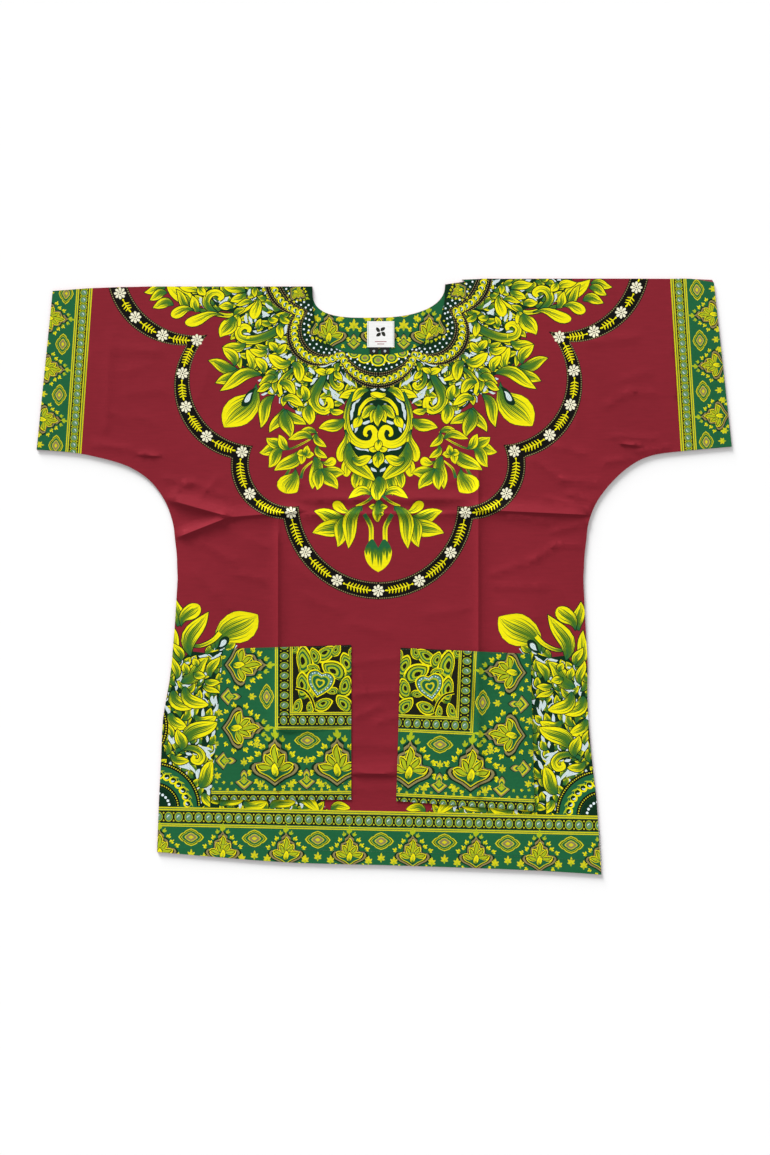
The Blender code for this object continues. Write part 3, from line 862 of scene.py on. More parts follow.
def side_medallion(pen):
    """Green and dark rings with links and dots, the quarter that shows."""
    edge, outer_dots, links, inner_dots, middle, white_dots = SIDE_RINGS
    pen.fill(np.vstack([arc(SIDE_CENTRE, edge, 90, 180, 20), [SIDE_CENTRE]]), "green")
    for turn in range(7):
        angle = 98 + turn * 12.5
        ring = pen.at(*arc(SIDE_CENTRE, links, angle, angle, 1)[0], angle)
        ring.disc(0, 0, 5.0, "yellow", 12)
        ring.disc(0.9, 0.5, 3.5, "deep", 10)
        ring.leaf((-1, -2), (1.2, 2), 0.3, 2.2, "sliver", "white")
        ring.leaf((5.0, -5.2), (7.0, 5.2), 0.1, 2.4, "blade", "lime")
    dotted_arc(pen, SIDE_CENTRE, outer_dots, 92, 178)
    dotted_arc(pen, SIDE_CENTRE, inner_dots, 92, 178)
    pen.fill(np.vstack([arc(SIDE_CENTRE, middle, 90, 180, 12), [SIDE_CENTRE]]), "deep")
    for number in range(5):
        pen.disc(*arc(SIDE_CENTRE, white_dots, 105 + 16 * number, 0, 1)[0], 1.8, "white", 8)


def side_foliage(pen):
    """The dense foliage over the hem at the side seam, with its broad leaf and round medallion."""
    pen.fill(SIDE_GROUND, "deep")
    thicket(pen, SIDE_GROUND, 14.0, (262, -330), 21.0, 9.0)
    draw_slivers(pen, SIDE_SLIVERS)
    draw_leaves(pen, (SIDE_PADDLE,))
    paddle_heart(pen, (206, -94), (180, -72), 34)
    draw_curls(pen, SIDE_CURLS, 2.4, 0.62)
    draw_leaves(pen, SIDE_LEAVES, 1.2)
    side_medallion(pen)
    dotted_arc(pen, (318.0, -196.0), 47, 150, 212)


def foot_petals(pen):
    """The strip of foliage between the pocket and the hem border, one side."""
    pen.fill([(0, -284), (62, -284), (66, -301), (0, -301)], "maroon")
    pen.fill([(74, -282), (215, -282), (215, -301), (70, -301)], "deep")
    thicket(pen, [(76, -283), (215, -283), (215, -304), (72, -304)], 13.0, (150, -400), 20.0, 9.0)
    draw_slivers(pen, FOOT_SLIVERS)
    draw_leaves(pen, FOOT_PETALS, 0.8)


# ================================================================ print of the pockets

def paisley(pen, size, width):
    """A drop with fine rims one in the other, its tip up and its width a share of its size."""
    for margin, ink in ((1.0, "yellow"), (0.84, "deep"), (0.74, "lime"), (0.58, "green"), (0.44, "lime"),
                        (0.26, "brown")):
        reach = size * 0.5 * margin
        pen.leaf((0, -reach), (0, reach), 0.10, size * width * margin, "petal", ink)


# Paisleys in the pocket's corner square: place, turn, length and share of width.
PAISLEYS = (
    (63, -20, 4, 42, 0.52), (34, -9, 70, 32, 0.55), (48, -14, -10, 22, 0.6), (7, -24, -12, 30, 0.62),
    (20, -6, 40, 18, 0.6), (74, -4, 0, 14, 0.8), (24, -34, -48, 36, 0.62), (64, -51, 4, 36, 0.52),
    (9, -52, 25, 28, 0.60), (36, -74, 80, 26, 0.62), (11, -76, -30, 28, 0.62), (70, -78, 30, 22, 0.55),
    (24, -60, -80, 16, 0.6), (49, -31, -60, 18, 0.6), (54, -80, 10, 16, 0.6), (0, -12, 0, 18, 0.6),
    (54, -64, -40, 14, 0.6),
)
HEART_DOTS = 22


def paisley_square(pen, width, height):
    """The dark corner square: paisleys round a heart, and a stem across its low corner."""
    pen.block(0, 0, width, -height, "brown")
    for u, v, turn, size, share in PAISLEYS:
        paisley(pen.at(u + 5, v - 5, turn), size, share)
    heart = mirrored(catmull([(0, 12), (8, 15), (16, 10), (15, -1), (8, -10), (0, -17)], 3))
    middle = pen.at(45, -54, 12)
    for scale, ink in ((1.10, "yellow"), (1.00, "brown"), (0.94, "teal"), (0.72, "lime"), (0.60, "green"),
                       (0.36, "gold"), (0.22, "green")):
        middle.fill(heart * scale, ink)
    for step in range(HEART_DOTS):
        index = int(step / HEART_DOTS * len(heart))
        middle.disc(*(heart[index] * 0.83), 0.9, "white", 6)
    for thick, ink in ((4, "yellow"), (2.4, "brown")):
        pen.curve([(76, -60), (64, -64), (56, -74), (52, -86)], [thick] * 4, ink)


# A pocket's print in mm from its inner top corner. The print starts a little outside that corner.
POCKET_WIDTH = 185.0
POCKET_HEIGHT = 215.0
OVERLAP = 5
FIELD_WIDTH = 168         # small tufts fill what lies beyond the field of palmettes
FIELD_HEIGHT = 170
LINES_DOWN = ((76.5, 95.0), (95.5, 113.0))
LINES_ACROSS = ((-87.5, 83.0), (-106.0, 102.4))
BELLS = ((137, -173, 0), (57, -172, 0), (155, -66, 90), (161, -148, 90))
CROWNS = (
    (128, -66, 90), (57, -149, 0), (137, -151, 0), (170, -46, 60), (170, -86, 120), (116, -180, 0),
    (77, -180, 0), (38, -180, 0), (172, -168, 60), (0, -180, 0), (122, -128, 45), (176, -128, 90),
    (176, -10, 90),
)


def pocket_edges(pen):
    """Small tufts along a pocket's outer side and foot, each turned its own way."""
    for row in range(22):
        for column in range(19):
            u, v = 2 + column * 10 + 5 * (row % 2), -4 - row * 8.6
            if u > FIELD_WIDTH or v < -FIELD_HEIGHT:
                turn = (37 * row + 61 * column) % 360
                tuft(pen.at(u, v, turn), 5.0, "lime" if (row + column) % 3 else "gold")


def pocket_print(pen):
    """One pocket from its inner top corner, outward +u and down -v."""
    pen.block(-OVERLAP, OVERLAP, POCKET_WIDTH, -POCKET_HEIGHT, "green")
    pocket_edges(pen)
    paisley_square(pen.at(-OVERLAP, OVERLAP), 80.0, 91.0)
    bead_row(pen.at(85.5, OVERLAP, -90), 105, 12.6, 11.0, 8.8)
    bead_row(pen.at(-OVERLAP, -96.5), 98, 12.2, 11.0, 8.8)
    for u, length in LINES_DOWN:
        double_line(pen.at(u, OVERLAP, -90), length, 3.6)
    for v, length in LINES_ACROSS:
        double_line(pen.at(-OVERLAP, v), length, 3.6)
    for u, v in ((144, -25.6), (147, -106)):
        palmette(pen.at(u, v, 90), 60.0)
    for u in (97.5, 18):
        palmette(pen.at(u, -160.0), 68.0)
    lozenge(pen.at(108, -66, 90), 29, 17)
    lozenge(pen.at(56, -122), 30, 20)
    for u, v, turn in BELLS:
        bell(pen.at(u, v, turn), 22.0)
    for u, v, turn in CROWNS:
        crown(pen.at(u, v, turn), 10.0)
    double_line(pen.at(-OVERLAP, -188.5), POCKET_WIDTH + OVERLAP, 3.6)
    bead_row(pen.at(-OVERLAP, -198.0), POCKET_WIDTH + OVERLAP, 12.4, 11.0, 8.8)


# ================================================================ the whole print

AXIS_X = -0.0077          # the print's own middle line
# Heights in mm, and how far a level line of the print leans there.
LEAN_HEIGHTS = (-350, -300, -60, 82, 160, 305, 370)
LEAN_SLOPES = (-0.0210, -0.0205, -0.0100, 0.0, 0.0030, 0.0085, 0.0115)
HEM_LEAN = 0.0205
# Border lines of the cuffs in mm: side, the line's upper end, its lower end, and its motifs' phase.
CUFF_LINES = (
    (-1, -374.0, 386.0, -390.5, 145.0, 26.0),
    (1, 367.5, 388.0, 382.5, 145.0, 25.5),
)


def lay_body(side):
    """Print millimetres of one side to metres on the cloth."""
    def lay(points):
        away = side * points[:, 0]
        lean = np.interp(points[:, 1], LEAN_HEIGHTS, LEAN_SLOPES)
        return np.column_stack([AXIS_X + away * MM, (points[:, 1] + lean * away) * MM])
    return lay


def lay_plain(points):
    """Millimetres to metres, with no lean."""
    return points * MM


def lay_hem(points):
    """The hem border follows the lean of the print's lowest lines."""
    return np.column_stack([AXIS_X + points[:, 0] * MM, (points[:, 1] - HEM_LEAN * points[:, 0]) * MM])


def outer_borders(shapes):
    """The borders of the hem and of both cuffs."""
    border(Pen(shapes, lay_hem).at(-300, -302), 600, 60.7, 90.0, HEM_STYLE)
    for side, top_x, top_y, low_x, low_y, phase in CUFF_LINES:
        line = np.array([low_x - top_x, low_y - top_y])
        turn = math.degrees(math.atan2(line[1], line[0]))
        pen = Pen(shapes, lay_plain)
        pen = pen.at(top_x, top_y, turn) if side < 0 else pen.at(low_x, low_y, turn + 180)
        border(pen, np.linalg.norm(line), phase, 75.0, CUFF_STYLE)


def body_print():
    """Everything printed on the front, in the order it overlaps."""
    shapes = []
    both = [(side, Pen(shapes, lay_body(side))) for side in (-1, 1)]
    whole = both[1][1]
    scallop_band(whole)
    for side, pen in both:
        band_trim(pen, side)
    for side, pen in both:
        yoke_foliage(pen)
    for side, pen in both:
        medallion(pen, side)
        sprigs(pen, side)
    collar_border(whole)
    for side, pen in both:
        collar_trim(pen, side)
    for side, pen in both:
        side_foliage(pen)
        foot_petals(pen)
    outer_borders(shapes)
    return shapes


# ================================================================ cloth meshes

def follow(links, first):
    """The closed loop that links make from point to point, from its first point on."""
    loop = [first]
    while links[loop[-1]] != first:
        loop.append(links[loop[-1]])
    return loop


def rim_loop(node):
    """The outline of a CAD node seen from above, as points in order, anticlockwise."""
    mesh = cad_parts[node].data
    points = np.array([vertex.co for vertex in mesh.vertices])
    keys, number = np.unique(np.round(points, 6), axis=0, return_inverse=True)
    number = number.ravel()
    follows = {}
    edges = set()
    for face in mesh.polygons:
        if face.normal.z > 0.5:
            ring = [int(number[index]) for index in face.vertices]
            edges.update(zip(ring, ring[1:] + ring[:1]))
    for start, end in edges:
        if (end, start) not in edges:
            follows[start] = end
    return keys[follow(follows, min(follows))][:, :2]


def rounded(loop, corner=28.0, steps=3):
    """The loop as a smooth curve that keeps its sharp corners."""
    ahead = np.roll(loop, -1, 0) - loop
    behind = loop - np.roll(loop, 1, 0)
    turn = np.degrees(np.abs(np.arctan2(behind[:, 0] * ahead[:, 1] - behind[:, 1] * ahead[:, 0],
                                        (behind * ahead).sum(1))))
    corners = [index for index in range(len(loop)) if turn[index] > corner]
    line = []
    for start, end in zip(corners, corners[1:] + [corners[0] + len(loop)]):
        run = loop[np.arange(start, end + 1) % len(loop)]
        line.append(catmull(run, steps)[:-1] if len(run) > 2 else run[:-1])
    return np.vstack(line)


def inset_loop(outline, distance):
    """A closed outline (anticlockwise) moved inward."""
    ahead = np.roll(outline, -1, 0) - np.roll(outline, 1, 0)
    ahead /= np.maximum(np.linalg.norm(ahead, axis=1), 1e-9)[:, None]
    return outline + np.column_stack([-ahead[:, 1], ahead[:, 0]]) * distance


EVEN_ROWS = 0.866         # height of an even triangle, as a share of its side
CLEARANCE = 0.55          # cell, as a share of the spacing, that holds no grid point beside another


def cut_grid(outline, spacing, taken):
    """A stepped grid of points inside an outline that keeps off points already there."""
    low, high = outline.min(0) - spacing, outline.max(0) + spacing
    columns = np.arange(low[0], high[0], spacing)
    rows = np.arange(low[1], high[1], spacing * EVEN_ROWS)
    x, y = np.meshgrid(columns, rows)
    x = x + (np.arange(len(rows)) % 2)[:, None] * spacing * 0.5
    grid = np.column_stack([x.ravel(), y.ravel()])
    cell = spacing * CLEARANCE
    full = {tuple(key) for key in np.floor(taken / cell).astype(int)}
    keys = np.floor(grid / cell).astype(int)
    free = np.array([tuple(key) not in full for key in keys])
    grid = grid[free]
    return grid[inside(grid, outline)]


def divide(outline, lines, spacing):
    """Triangles of a sheet, divided along its outline and along other closed or open lines."""
    points = [outline]
    edges = [(index, (index + 1) % len(outline)) for index in range(len(outline))]
    count = len(outline)
    for line, closed in lines:
        links = len(line) if closed else len(line) - 1
        edges += [(count + index, count + (index + 1) % len(line)) for index in range(links)]
        points.append(line)
        count += len(line)
    taken = np.vstack(points)
    points.append(cut_grid(outline, spacing, taken))
    everything = np.vstack(points)
    corners, _, faces, _, _, _ = delaunay_2d_cdt([Vector(point) for point in everything.tolist()],
                                                 edges, [], 0, 1e-6)
    corners = np.array([corner[:] for corner in corners])
    faces = np.array([face for face in faces if len(face) == 3])
    faces = faces[inside(corners[faces].mean(1), outline)]
    used, number = np.unique(faces, return_inverse=True)
    return corners[used], number.reshape(-1, 3)


def rim_edges(faces):
    """Directed edges that only one triangle has."""
    edges = np.vstack([faces[:, [0, 1]], faces[:, [1, 2]], faces[:, [2, 0]]])
    size = int(faces.max()) + 1
    forward = edges[:, 0].astype(np.int64) * size + edges[:, 1]
    backward = edges[:, 1].astype(np.int64) * size + edges[:, 0]
    return edges[~np.isin(forward, backward)]


def place_on_spine(points, spine, half):
    """How far along a spine each point lies, 0 to 1, and how far across, -1 to 1 at the edges."""
    start, step = spine[:-1], np.diff(spine, axis=0)
    length = np.maximum((step ** 2).sum(1), 1e-14)
    away = points[:, None, :] - start
    t = np.clip((away * step).sum(2) / length, 0, 1)
    gap = away - t[:, :, None] * step
    nearest = (gap ** 2).sum(2).argmin(1)
    rows = np.arange(len(points))
    t = t[rows, nearest]
    gap = gap[rows, nearest]
    direction = step[nearest] / np.sqrt(length[nearest])[:, None]
    side = direction[:, 0] * gap[:, 1] - direction[:, 1] * gap[:, 0]
    place = nearest + t
    width = np.maximum(np.interp(place, np.arange(len(half)), half), 0.25 * half.max())
    return place / len(step), np.clip(side / width, -1, 1)


def paint(corners, faces, shapes, ground):
    """For each triangle's corners the ink, and the place within its leaf."""
    middle = corners[faces].mean(1)
    order = np.argsort(middle[:, 0])
    ordered = middle[order]
    owner = np.full(len(faces), -1)
    for number, shape in enumerate(shapes):
        outline = shape[0]
        low, high = outline.min(0), outline.max(0)
        first, last = np.searchsorted(ordered[:, 0], (low[0], high[0]))
        near = order[first:last]
        near = near[(middle[near, 1] >= low[1]) & (middle[near, 1] <= high[1])]
        if len(near):
            owner[near[inside(middle[near], outline)]] = number
    table = np.array([INKS[name] for name in INK_NAMES])
    inks = np.array([INK_NAMES.index(shape[1]) for shape in shapes] + [INK_NAMES.index(ground)])
    colours = table[inks[owner]]
    leaf = np.zeros((len(faces), 3, 4))
    for number in np.unique(owner):
        if number < 0 or shapes[number][3] is None:
            continue
        _, _, kind, spine, half, depth = shapes[number]
        mine = np.nonzero(owner == number)[0]
        along, across = place_on_spine(corners[faces[mine]].reshape(-1, 2), spine, half)
        leaf[mine, :, 0] = along.reshape(-1, 3)
        leaf[mine, :, 1] = across.reshape(-1, 3)
        leaf[mine, :, 2] = kind
        leaf[mine, :, 3] = depth
    return colours, leaf


def seen_stretches(shapes):
    """The stretches of the shapes' outlines that no later shape covers, each with whether it closes."""
    if not shapes:
        return []
    lows = np.array([shape[0].min(0) for shape in shapes])
    highs = np.array([shape[0].max(0) for shape in shapes])
    stretches = []
    for number, shape in enumerate(shapes):
        outline = shape[0]
        count = len(outline)
        tests = np.vstack([outline, 0.5 * (outline + np.roll(outline, -1, 0))])
        low, high = lows[number], highs[number]
        over = np.nonzero((lows[number + 1:] < high).all(1) & (highs[number + 1:] > low).all(1))[0]
        hidden = np.zeros(count, bool)
        for other in over + number + 1:
            within = inside(tests, shapes[other][0])
            hidden |= within[:count] & np.roll(within[:count], -1) & within[count:]
            if hidden.all():
                break
        if not hidden.any():
            stretches.append((outline, True))
            continue
        if hidden.all():
            continue
        turn = int(np.nonzero(hidden)[0][0]) + 1
        seen = np.roll(~hidden, -turn)
        around = np.roll(outline, -turn, 0)
        start = None
        for index in range(count):
            if seen[index] and start is None:
                start = index
            if start is not None and not seen[index]:
                stretches.append((around[start:index + 1], False))
                start = None
        if start is not None:
            stretches.append((np.vstack([around[start:], around[:1]]), False))
    return stretches


def lowest(under, x, y, reach):
    """The least height of a surface near each place, so that a coarse sheet stays below it."""
    least = under(x, y)
    for step in range(16):
        away = reach * (0.5 if step % 2 else 1.0)
        turn = step * math.pi / 8
        least = np.minimum(least, under(x + away * math.cos(turn), y + away * math.sin(turn)))
    return least


MAP_SHARE = 0.84          # height of the bake map that a tall piece's upper face may fill


def bake_map(vertices, triangles, upper, outline):
    """The upper face fills most of the map, seen from above, and the rest lies in a strip over it."""
    low, high = outline.min(0), outline.max(0)
    reach = (high - low).max()
    place = (vertices[triangles][:, :, :2] - low) / reach
    tall = (high[1] - low[1]) / reach
    share = MAP_SHARE if tall > MAP_SHARE else 1.0
    strip = max(1.0 - tall * share, 0.02)
    place = place * (share, share)
    shrink = 0.9 * strip / max(tall * share, 0.01)
    place[upper:] = place[upper:] * (shrink, shrink) + (0.01, tall * share + 0.05 * strip)
    return place.reshape(-1, 2)


SHARP_ANGLE = math.radians(40)


def mesh_object(name, vertices, triangles, face_ink, corner_leaf, upper, outline):
    """A mesh with its ink, its place within each leaf, and its bake map."""
    mesh = bpy.data.meshes.new(name)
    mesh.vertices.add(len(vertices))
    mesh.vertices.foreach_set("co", vertices.astype(np.float32).ravel())
    mesh.loops.add(3 * len(triangles))
    mesh.loops.foreach_set("vertex_index", triangles.astype(np.int32).ravel())
    mesh.polygons.add(len(triangles))
    mesh.polygons.foreach_set("loop_start", np.arange(0, 3 * len(triangles), 3, dtype=np.int32))
    mesh.update(calc_edges=True)
    ink = mesh.attributes.new("ink", "FLOAT_COLOR", "CORNER")
    rgba = np.ones((len(triangles), 3, 4))
    rgba[:, :, :3] = face_ink[:, None, :]
    ink.data.foreach_set("color", rgba.astype(np.float32).ravel())
    leaf = mesh.attributes.new("leaf", "FLOAT_COLOR", "CORNER")
    leaf.data.foreach_set("color", corner_leaf.astype(np.float32).ravel())
    bake = mesh.uv_layers.new(name="OFBake")
    bake.data.foreach_set("uv", bake_map(vertices, triangles, upper, outline).astype(np.float32).ravel())
    mesh.polygons.foreach_set("use_smooth", np.ones(len(triangles), bool))
    mesh.set_sharp_from_angle(angle=SHARP_ANGLE)
    mesh.validate()
    item = bpy.data.objects.new(name, mesh)
    bpy.context.scene.collection.objects.link(item)
    return item


def coarse_below(corners, rim, spacing):
    """A coarser lower face within the same rim, and which of its corners is under each rim corner."""
    loop = follow(dict(rim.tolist()), int(rim[0, 0]))
    low_corners, low_faces = divide(corners[loop], (), spacing)
    nearest = {tuple(np.round(corner * 1e6).astype(int)): index
               for index, corner in enumerate(low_corners)}
    match = np.zeros(len(corners), int)
    for index in loop:
        key = tuple(np.round(corners[index] * 1e6).astype(int))
        if key not in nearest:
            gap = ((low_corners - corners[index]) ** 2).sum(1)
            nearest[key] = int(gap.argmin())
        match[index] = nearest[key]
    return low_corners, low_faces, match


def cloth_piece(name, outline, shapes, ground, under, wall=SHEET_WALL, spacing=0.005, lines=(),
                below=None, below_ground=None, below_spacing=0.009):
    """A closed wall of cloth. Its upper face is divided along the print, and its lower face either
    shares that division and has a print of its own, or is plain and coarser. At a crease the coarser
    face hangs lower than the cloth would, and a pocket's dips into the front there, out of sight."""
    low, high = outline.min(0), outline.max(0)
    drawn = [stretch for layer in (shapes, below or ()) for stretch in seen_stretches(
        [shape for shape in layer if (shape[0].max(0) > low).all() and (shape[0].min(0) < high).all()])]
    corners, faces = divide(outline, [*drawn, *lines], spacing)
    colours, leaf = paint(corners, faces, shapes, ground)
    rim = rim_edges(faces)
    if below is None:
        low_corners, low_faces, match = coarse_below(corners, rim, below_spacing)
        low_z = lowest(under, low_corners[:, 0], low_corners[:, 1], 0.7 * below_spacing)
    else:
        low_corners, low_faces, match = corners, faces, np.arange(len(corners))
        low_z = under(low_corners[:, 0], low_corners[:, 1])
    low_colours, low_leaf = paint(low_corners, low_faces, below or (), below_ground)
    count = len(corners)
    top_z = under(corners[:, 0], corners[:, 1]) + wall
    vertices = np.vstack([np.column_stack([corners, top_z]), np.column_stack([low_corners, low_z])])
    side_a = np.column_stack([rim[:, 1], rim[:, 0], match[rim[:, 0]] + count])
    side_b = np.column_stack([rim[:, 1], match[rim[:, 0]] + count, match[rim[:, 1]] + count])
    triangles = np.vstack([faces, low_faces[:, ::-1] + count, side_a, side_b])
    edge_ink = np.repeat(np.array([INKS[ground]]), 2 * len(rim), 0)
    face_ink = np.vstack([colours, low_colours, edge_ink])
    corner_leaf = np.vstack([leaf, low_leaf[:, ::-1], np.zeros((2 * len(rim), 3, 4))])
    return mesh_object(name, vertices, triangles, face_ink, corner_leaf, len(faces), outline)


# ================================================================ relief

# Folds that stand up along a line in the front: both ends, height of the crest and reach to a side.
# They are those of the CAD front.
FOLDS = (
    (-0.1900, 0.0790, 0.0300, 0.0850, 0.0010, 0.0160),
    (0.0900, 0.0880, 0.2480, 0.0800, 0.0014, 0.0160),
    (-0.1357, 0.0500, -0.1357, -0.2500, 0.0014, 0.0160),
    (0.1203, 0.1370, 0.1203, -0.2200, 0.0015, 0.0160),
    (-0.2600, 0.0960, -0.2080, 0.0790, 0.0024, 0.0150),
    (-0.2520, 0.0560, -0.2100, 0.0700, 0.0018, 0.0150),
)
# Soft swellings: middle, reach along x and y, and rise.
BILLOWS = (
    (-0.2000, 0.0100, 0.0600, 0.0900, 0.0016), (0.1900, 0.0200, 0.0600, 0.1000, 0.0018),
    (0.0000, 0.1700, 0.1300, 0.0800, 0.0012), (-0.3200, 0.2500, 0.0800, 0.0700, 0.0012),
    (0.3200, 0.2600, 0.0800, 0.0700, 0.0014), (-0.1200, -0.1900, 0.0800, 0.0700, 0.0012),
    (0.1100, -0.2000, 0.0800, 0.0700, 0.0012),
)
# Sharp pressed creases, finer than the CAD shows: ends, rise, and the reach to the left and to the
# right of the line.
CREASES = (
    (-0.1357, 0.0780, -0.1357, -0.2900, 0.0022, 0.0060, 0.0070),
    (0.1203, 0.1500, 0.1203, -0.2950, 0.0022, 0.0060, 0.0070),
    (-0.1990, 0.0760, -0.1040, 0.0840, 0.0020, 0.0160, 0.0035),
    (-0.1040, 0.0980, 0.1080, 0.0990, 0.0024, 0.0220, 0.0100),
    (-0.1040, 0.0800, 0.1080, 0.0810, 0.0016, 0.0060, 0.0160),
    (0.1080, 0.0860, 0.2620, 0.0790, 0.0022, 0.0180, 0.0030),
    (-0.2780, 0.0990, -0.1990, 0.0770, 0.0034, 0.0200, 0.0060),
    (-0.2650, 0.0500, -0.1990, 0.0760, 0.0030, 0.0130, 0.0060),
    (-0.0420, -0.2510, 0.0180, -0.2520, 0.0030, 0.0260, 0.0075),
    (-0.0420, -0.2700, 0.0180, -0.2710, 0.0005, 0.0140, 0.0180),
    (-0.3160, 0.1560, -0.2860, 0.1540, 0.0018, 0.0090, 0.0028),
    (0.3020, 0.1700, 0.3300, 0.1670, 0.0020, 0.0090, 0.0028),
)
# Soft wrinkles left by folding and handling: ends, rise, and reach to a side.
WRINKLES = (
    # left sleeve, from the cuff inward
    (-0.350, 0.310, -0.356, 0.185, 0.0008, 0.006), (-0.372, 0.170, -0.322, 0.163, 0.0010, 0.006),
    (-0.345, 0.292, -0.288, 0.288, 0.0008, 0.010), (-0.340, 0.262, -0.300, 0.270, 0.0005, 0.009),
    (-0.326, 0.236, -0.286, 0.238, 0.0006, 0.009), (-0.318, 0.206, -0.292, 0.196, 0.0006, 0.008),
    (-0.300, 0.256, -0.276, 0.230, 0.0005, 0.010), (-0.352, 0.212, -0.330, 0.200, 0.0005, 0.008),
    (-0.280, 0.126, -0.244, 0.118, 0.0008, 0.006), (-0.268, 0.106, -0.248, 0.122, 0.0008, 0.005),
    (-0.248, 0.122, -0.206, 0.104, 0.0007, 0.005), (-0.236, 0.100, -0.210, 0.130, 0.0006, 0.006),
    # right sleeve
    (0.283, 0.217, 0.314, 0.238, 0.0008, 0.006), (0.314, 0.238, 0.345, 0.234, 0.0007, 0.006),
    (0.292, 0.180, 0.350, 0.176, 0.0009, 0.006), (0.306, 0.252, 0.338, 0.262, 0.0006, 0.008),
    (0.262, 0.300, 0.322, 0.306, 0.0008, 0.010), (0.280, 0.146, 0.318, 0.152, 0.0009, 0.005),
    (0.322, 0.160, 0.362, 0.166, 0.0009, 0.005), (0.216, 0.168, 0.258, 0.156, 0.0008, 0.006),
    (0.190, 0.152, 0.228, 0.124, 0.0010, 0.007), (0.228, 0.124, 0.274, 0.120, 0.0009, 0.006),
    (0.236, 0.106, 0.266, 0.096, 0.0012, 0.005), (0.210, 0.100, 0.262, 0.088, 0.0010, 0.005),
    (0.250, 0.230, 0.246, 0.190, 0.0005, 0.010),
    # below the chest crease, right and left
    (0.216, 0.058, 0.262, 0.070, 0.0011, 0.006), (0.160, 0.080, 0.214, 0.068, 0.0009, 0.006),
    (0.194, 0.022, 0.220, 0.042, 0.0009, 0.006), (0.220, 0.042, 0.250, 0.040, 0.0008, 0.006),
    (0.138, 0.003, 0.192, 0.022, 0.0008, 0.006), (0.140, -0.012, 0.206, -0.014, 0.0008, 0.006),
    (0.222, -0.012, 0.246, -0.050, 0.0005, 0.010), (0.150, -0.040, 0.196, -0.052, 0.0005, 0.010),
    (-0.236, 0.046, -0.190, 0.018, 0.0010, 0.008), (-0.240, 0.004, -0.212, -0.020, 0.0006, 0.010),
    (-0.190, 0.004, -0.150, -0.004, 0.0008, 0.007), (-0.216, -0.020, -0.196, -0.044, 0.0006, 0.008),
    (-0.178, 0.050, -0.146, 0.036, 0.0006, 0.009),
    # middle and centre strip
    (-0.120, 0.018, -0.092, -0.006, 0.0006, 0.009), (-0.098, -0.024, -0.060, -0.044, 0.0007, 0.010),
    (-0.040, -0.060, 0.006, -0.072, 0.0006, 0.010), (0.056, -0.048, 0.108, -0.040, 0.0006, 0.010),
    (-0.042, -0.110, 0.018, -0.104, 0.0007, 0.008), (-0.040, -0.150, 0.016, -0.146, 0.0009, 0.007),
    (-0.034, -0.178, -0.006, -0.166, 0.0008, 0.007), (-0.010, -0.186, 0.016, -0.180, 0.0009, 0.007),
    (-0.042, -0.212, 0.016, -0.218, 0.0006, 0.010), (-0.030, -0.126, -0.022, -0.150, 0.0006, 0.006),
    # inside the yoke's plain ground
    (-0.226, 0.262, -0.240, 0.222, 0.0005, 0.010), (0.196, 0.262, 0.212, 0.230, 0.0005, 0.010),
    (-0.120, 0.122, -0.084, 0.110, 0.0006, 0.009), (0.066, 0.116, 0.110, 0.128, 0.0006, 0.009),
    (-0.080, 0.052, -0.066, 0.022, 0.0005, 0.010), (0.056, 0.058, 0.072, 0.026, 0.0005, 0.010),
)
CREASE_STEP = 0.009       # length of the mesh's edges along a crease


def smooth_fall(share):
    """A smooth step from 1 at 0 down to 0 at 1."""
    share = np.clip(share, 0.0, 1.0)
    return 1 - share * share * (3 - 2 * share)


def line_place(x, y, ends):
    """Distance to the left of a line between two points, how far past its ends, and the share along it."""
    start, end = np.array(ends[:2]), np.array(ends[2:])
    length = np.linalg.norm(end - start)
    along = (end - start) / length
    t = (x - start[0]) * along[0] + (y - start[1]) * along[1]
    aside = (y - start[1]) * along[0] - (x - start[0]) * along[1]
    return aside, np.maximum(np.maximum(-t, t - length), 0.0), np.clip(t / length, 0, 1)


def front_relief(x, y):
    """Height of the front's underside above the back."""
    lift = np.full_like(x, SEAM_GAP + LOFT)
    for centre_x, centre_y, reach_x, reach_y, rise in BILLOWS:
        lift += rise * np.exp(-((x - centre_x) / reach_x) ** 2 - ((y - centre_y) / reach_y) ** 2)
    for *ends, rise, reach in (*FOLDS, *WRINKLES):
        aside, past, _ = line_place(x, y, ends)
        lift += rise * smooth_fall(np.hypot(aside, past) / reach)
    for *ends, rise, reach_left, reach_right in CREASES:
        aside, past, share = line_place(x, y, ends)
        reach = np.where(aside > 0, reach_left, reach_right)
        taper = np.minimum(1.0, 8 * np.minimum(share, 1 - share) + 0.35)
        near = np.clip(1 - np.hypot(aside, past) / reach, 0, 1)
        lift += rise * taper * near ** 2
    return np.maximum(lift, SEAM_GAP)


def front_under(x, y):
    """Height of the front's underside over the ground."""
    return CAD_WALL + front_relief(x, y) + UNDER_MARGIN


def crease_lines():
    """The crests of the creases and wrinkles, and the feet of the creases, for the mesh to follow."""
    rows = [(row[:4], (0.0, 0.5 * row[5], -0.5 * row[6], row[5], -row[6])) for row in CREASES]
    rows += [(row[:4], (0.0,)) for row in WRINKLES]
    lines = []
    for ends, shifts in rows:
        start, end = np.array(ends[:2]), np.array(ends[2:])
        length = np.linalg.norm(end - start)
        along = (end - start) / length
        aside = left_of(along)
        steps = max(2, int(length / CREASE_STEP))
        for shift in shifts:
            lines.append((cut_evenly(np.array([start, end]) + aside * shift, steps), False))
    return lines


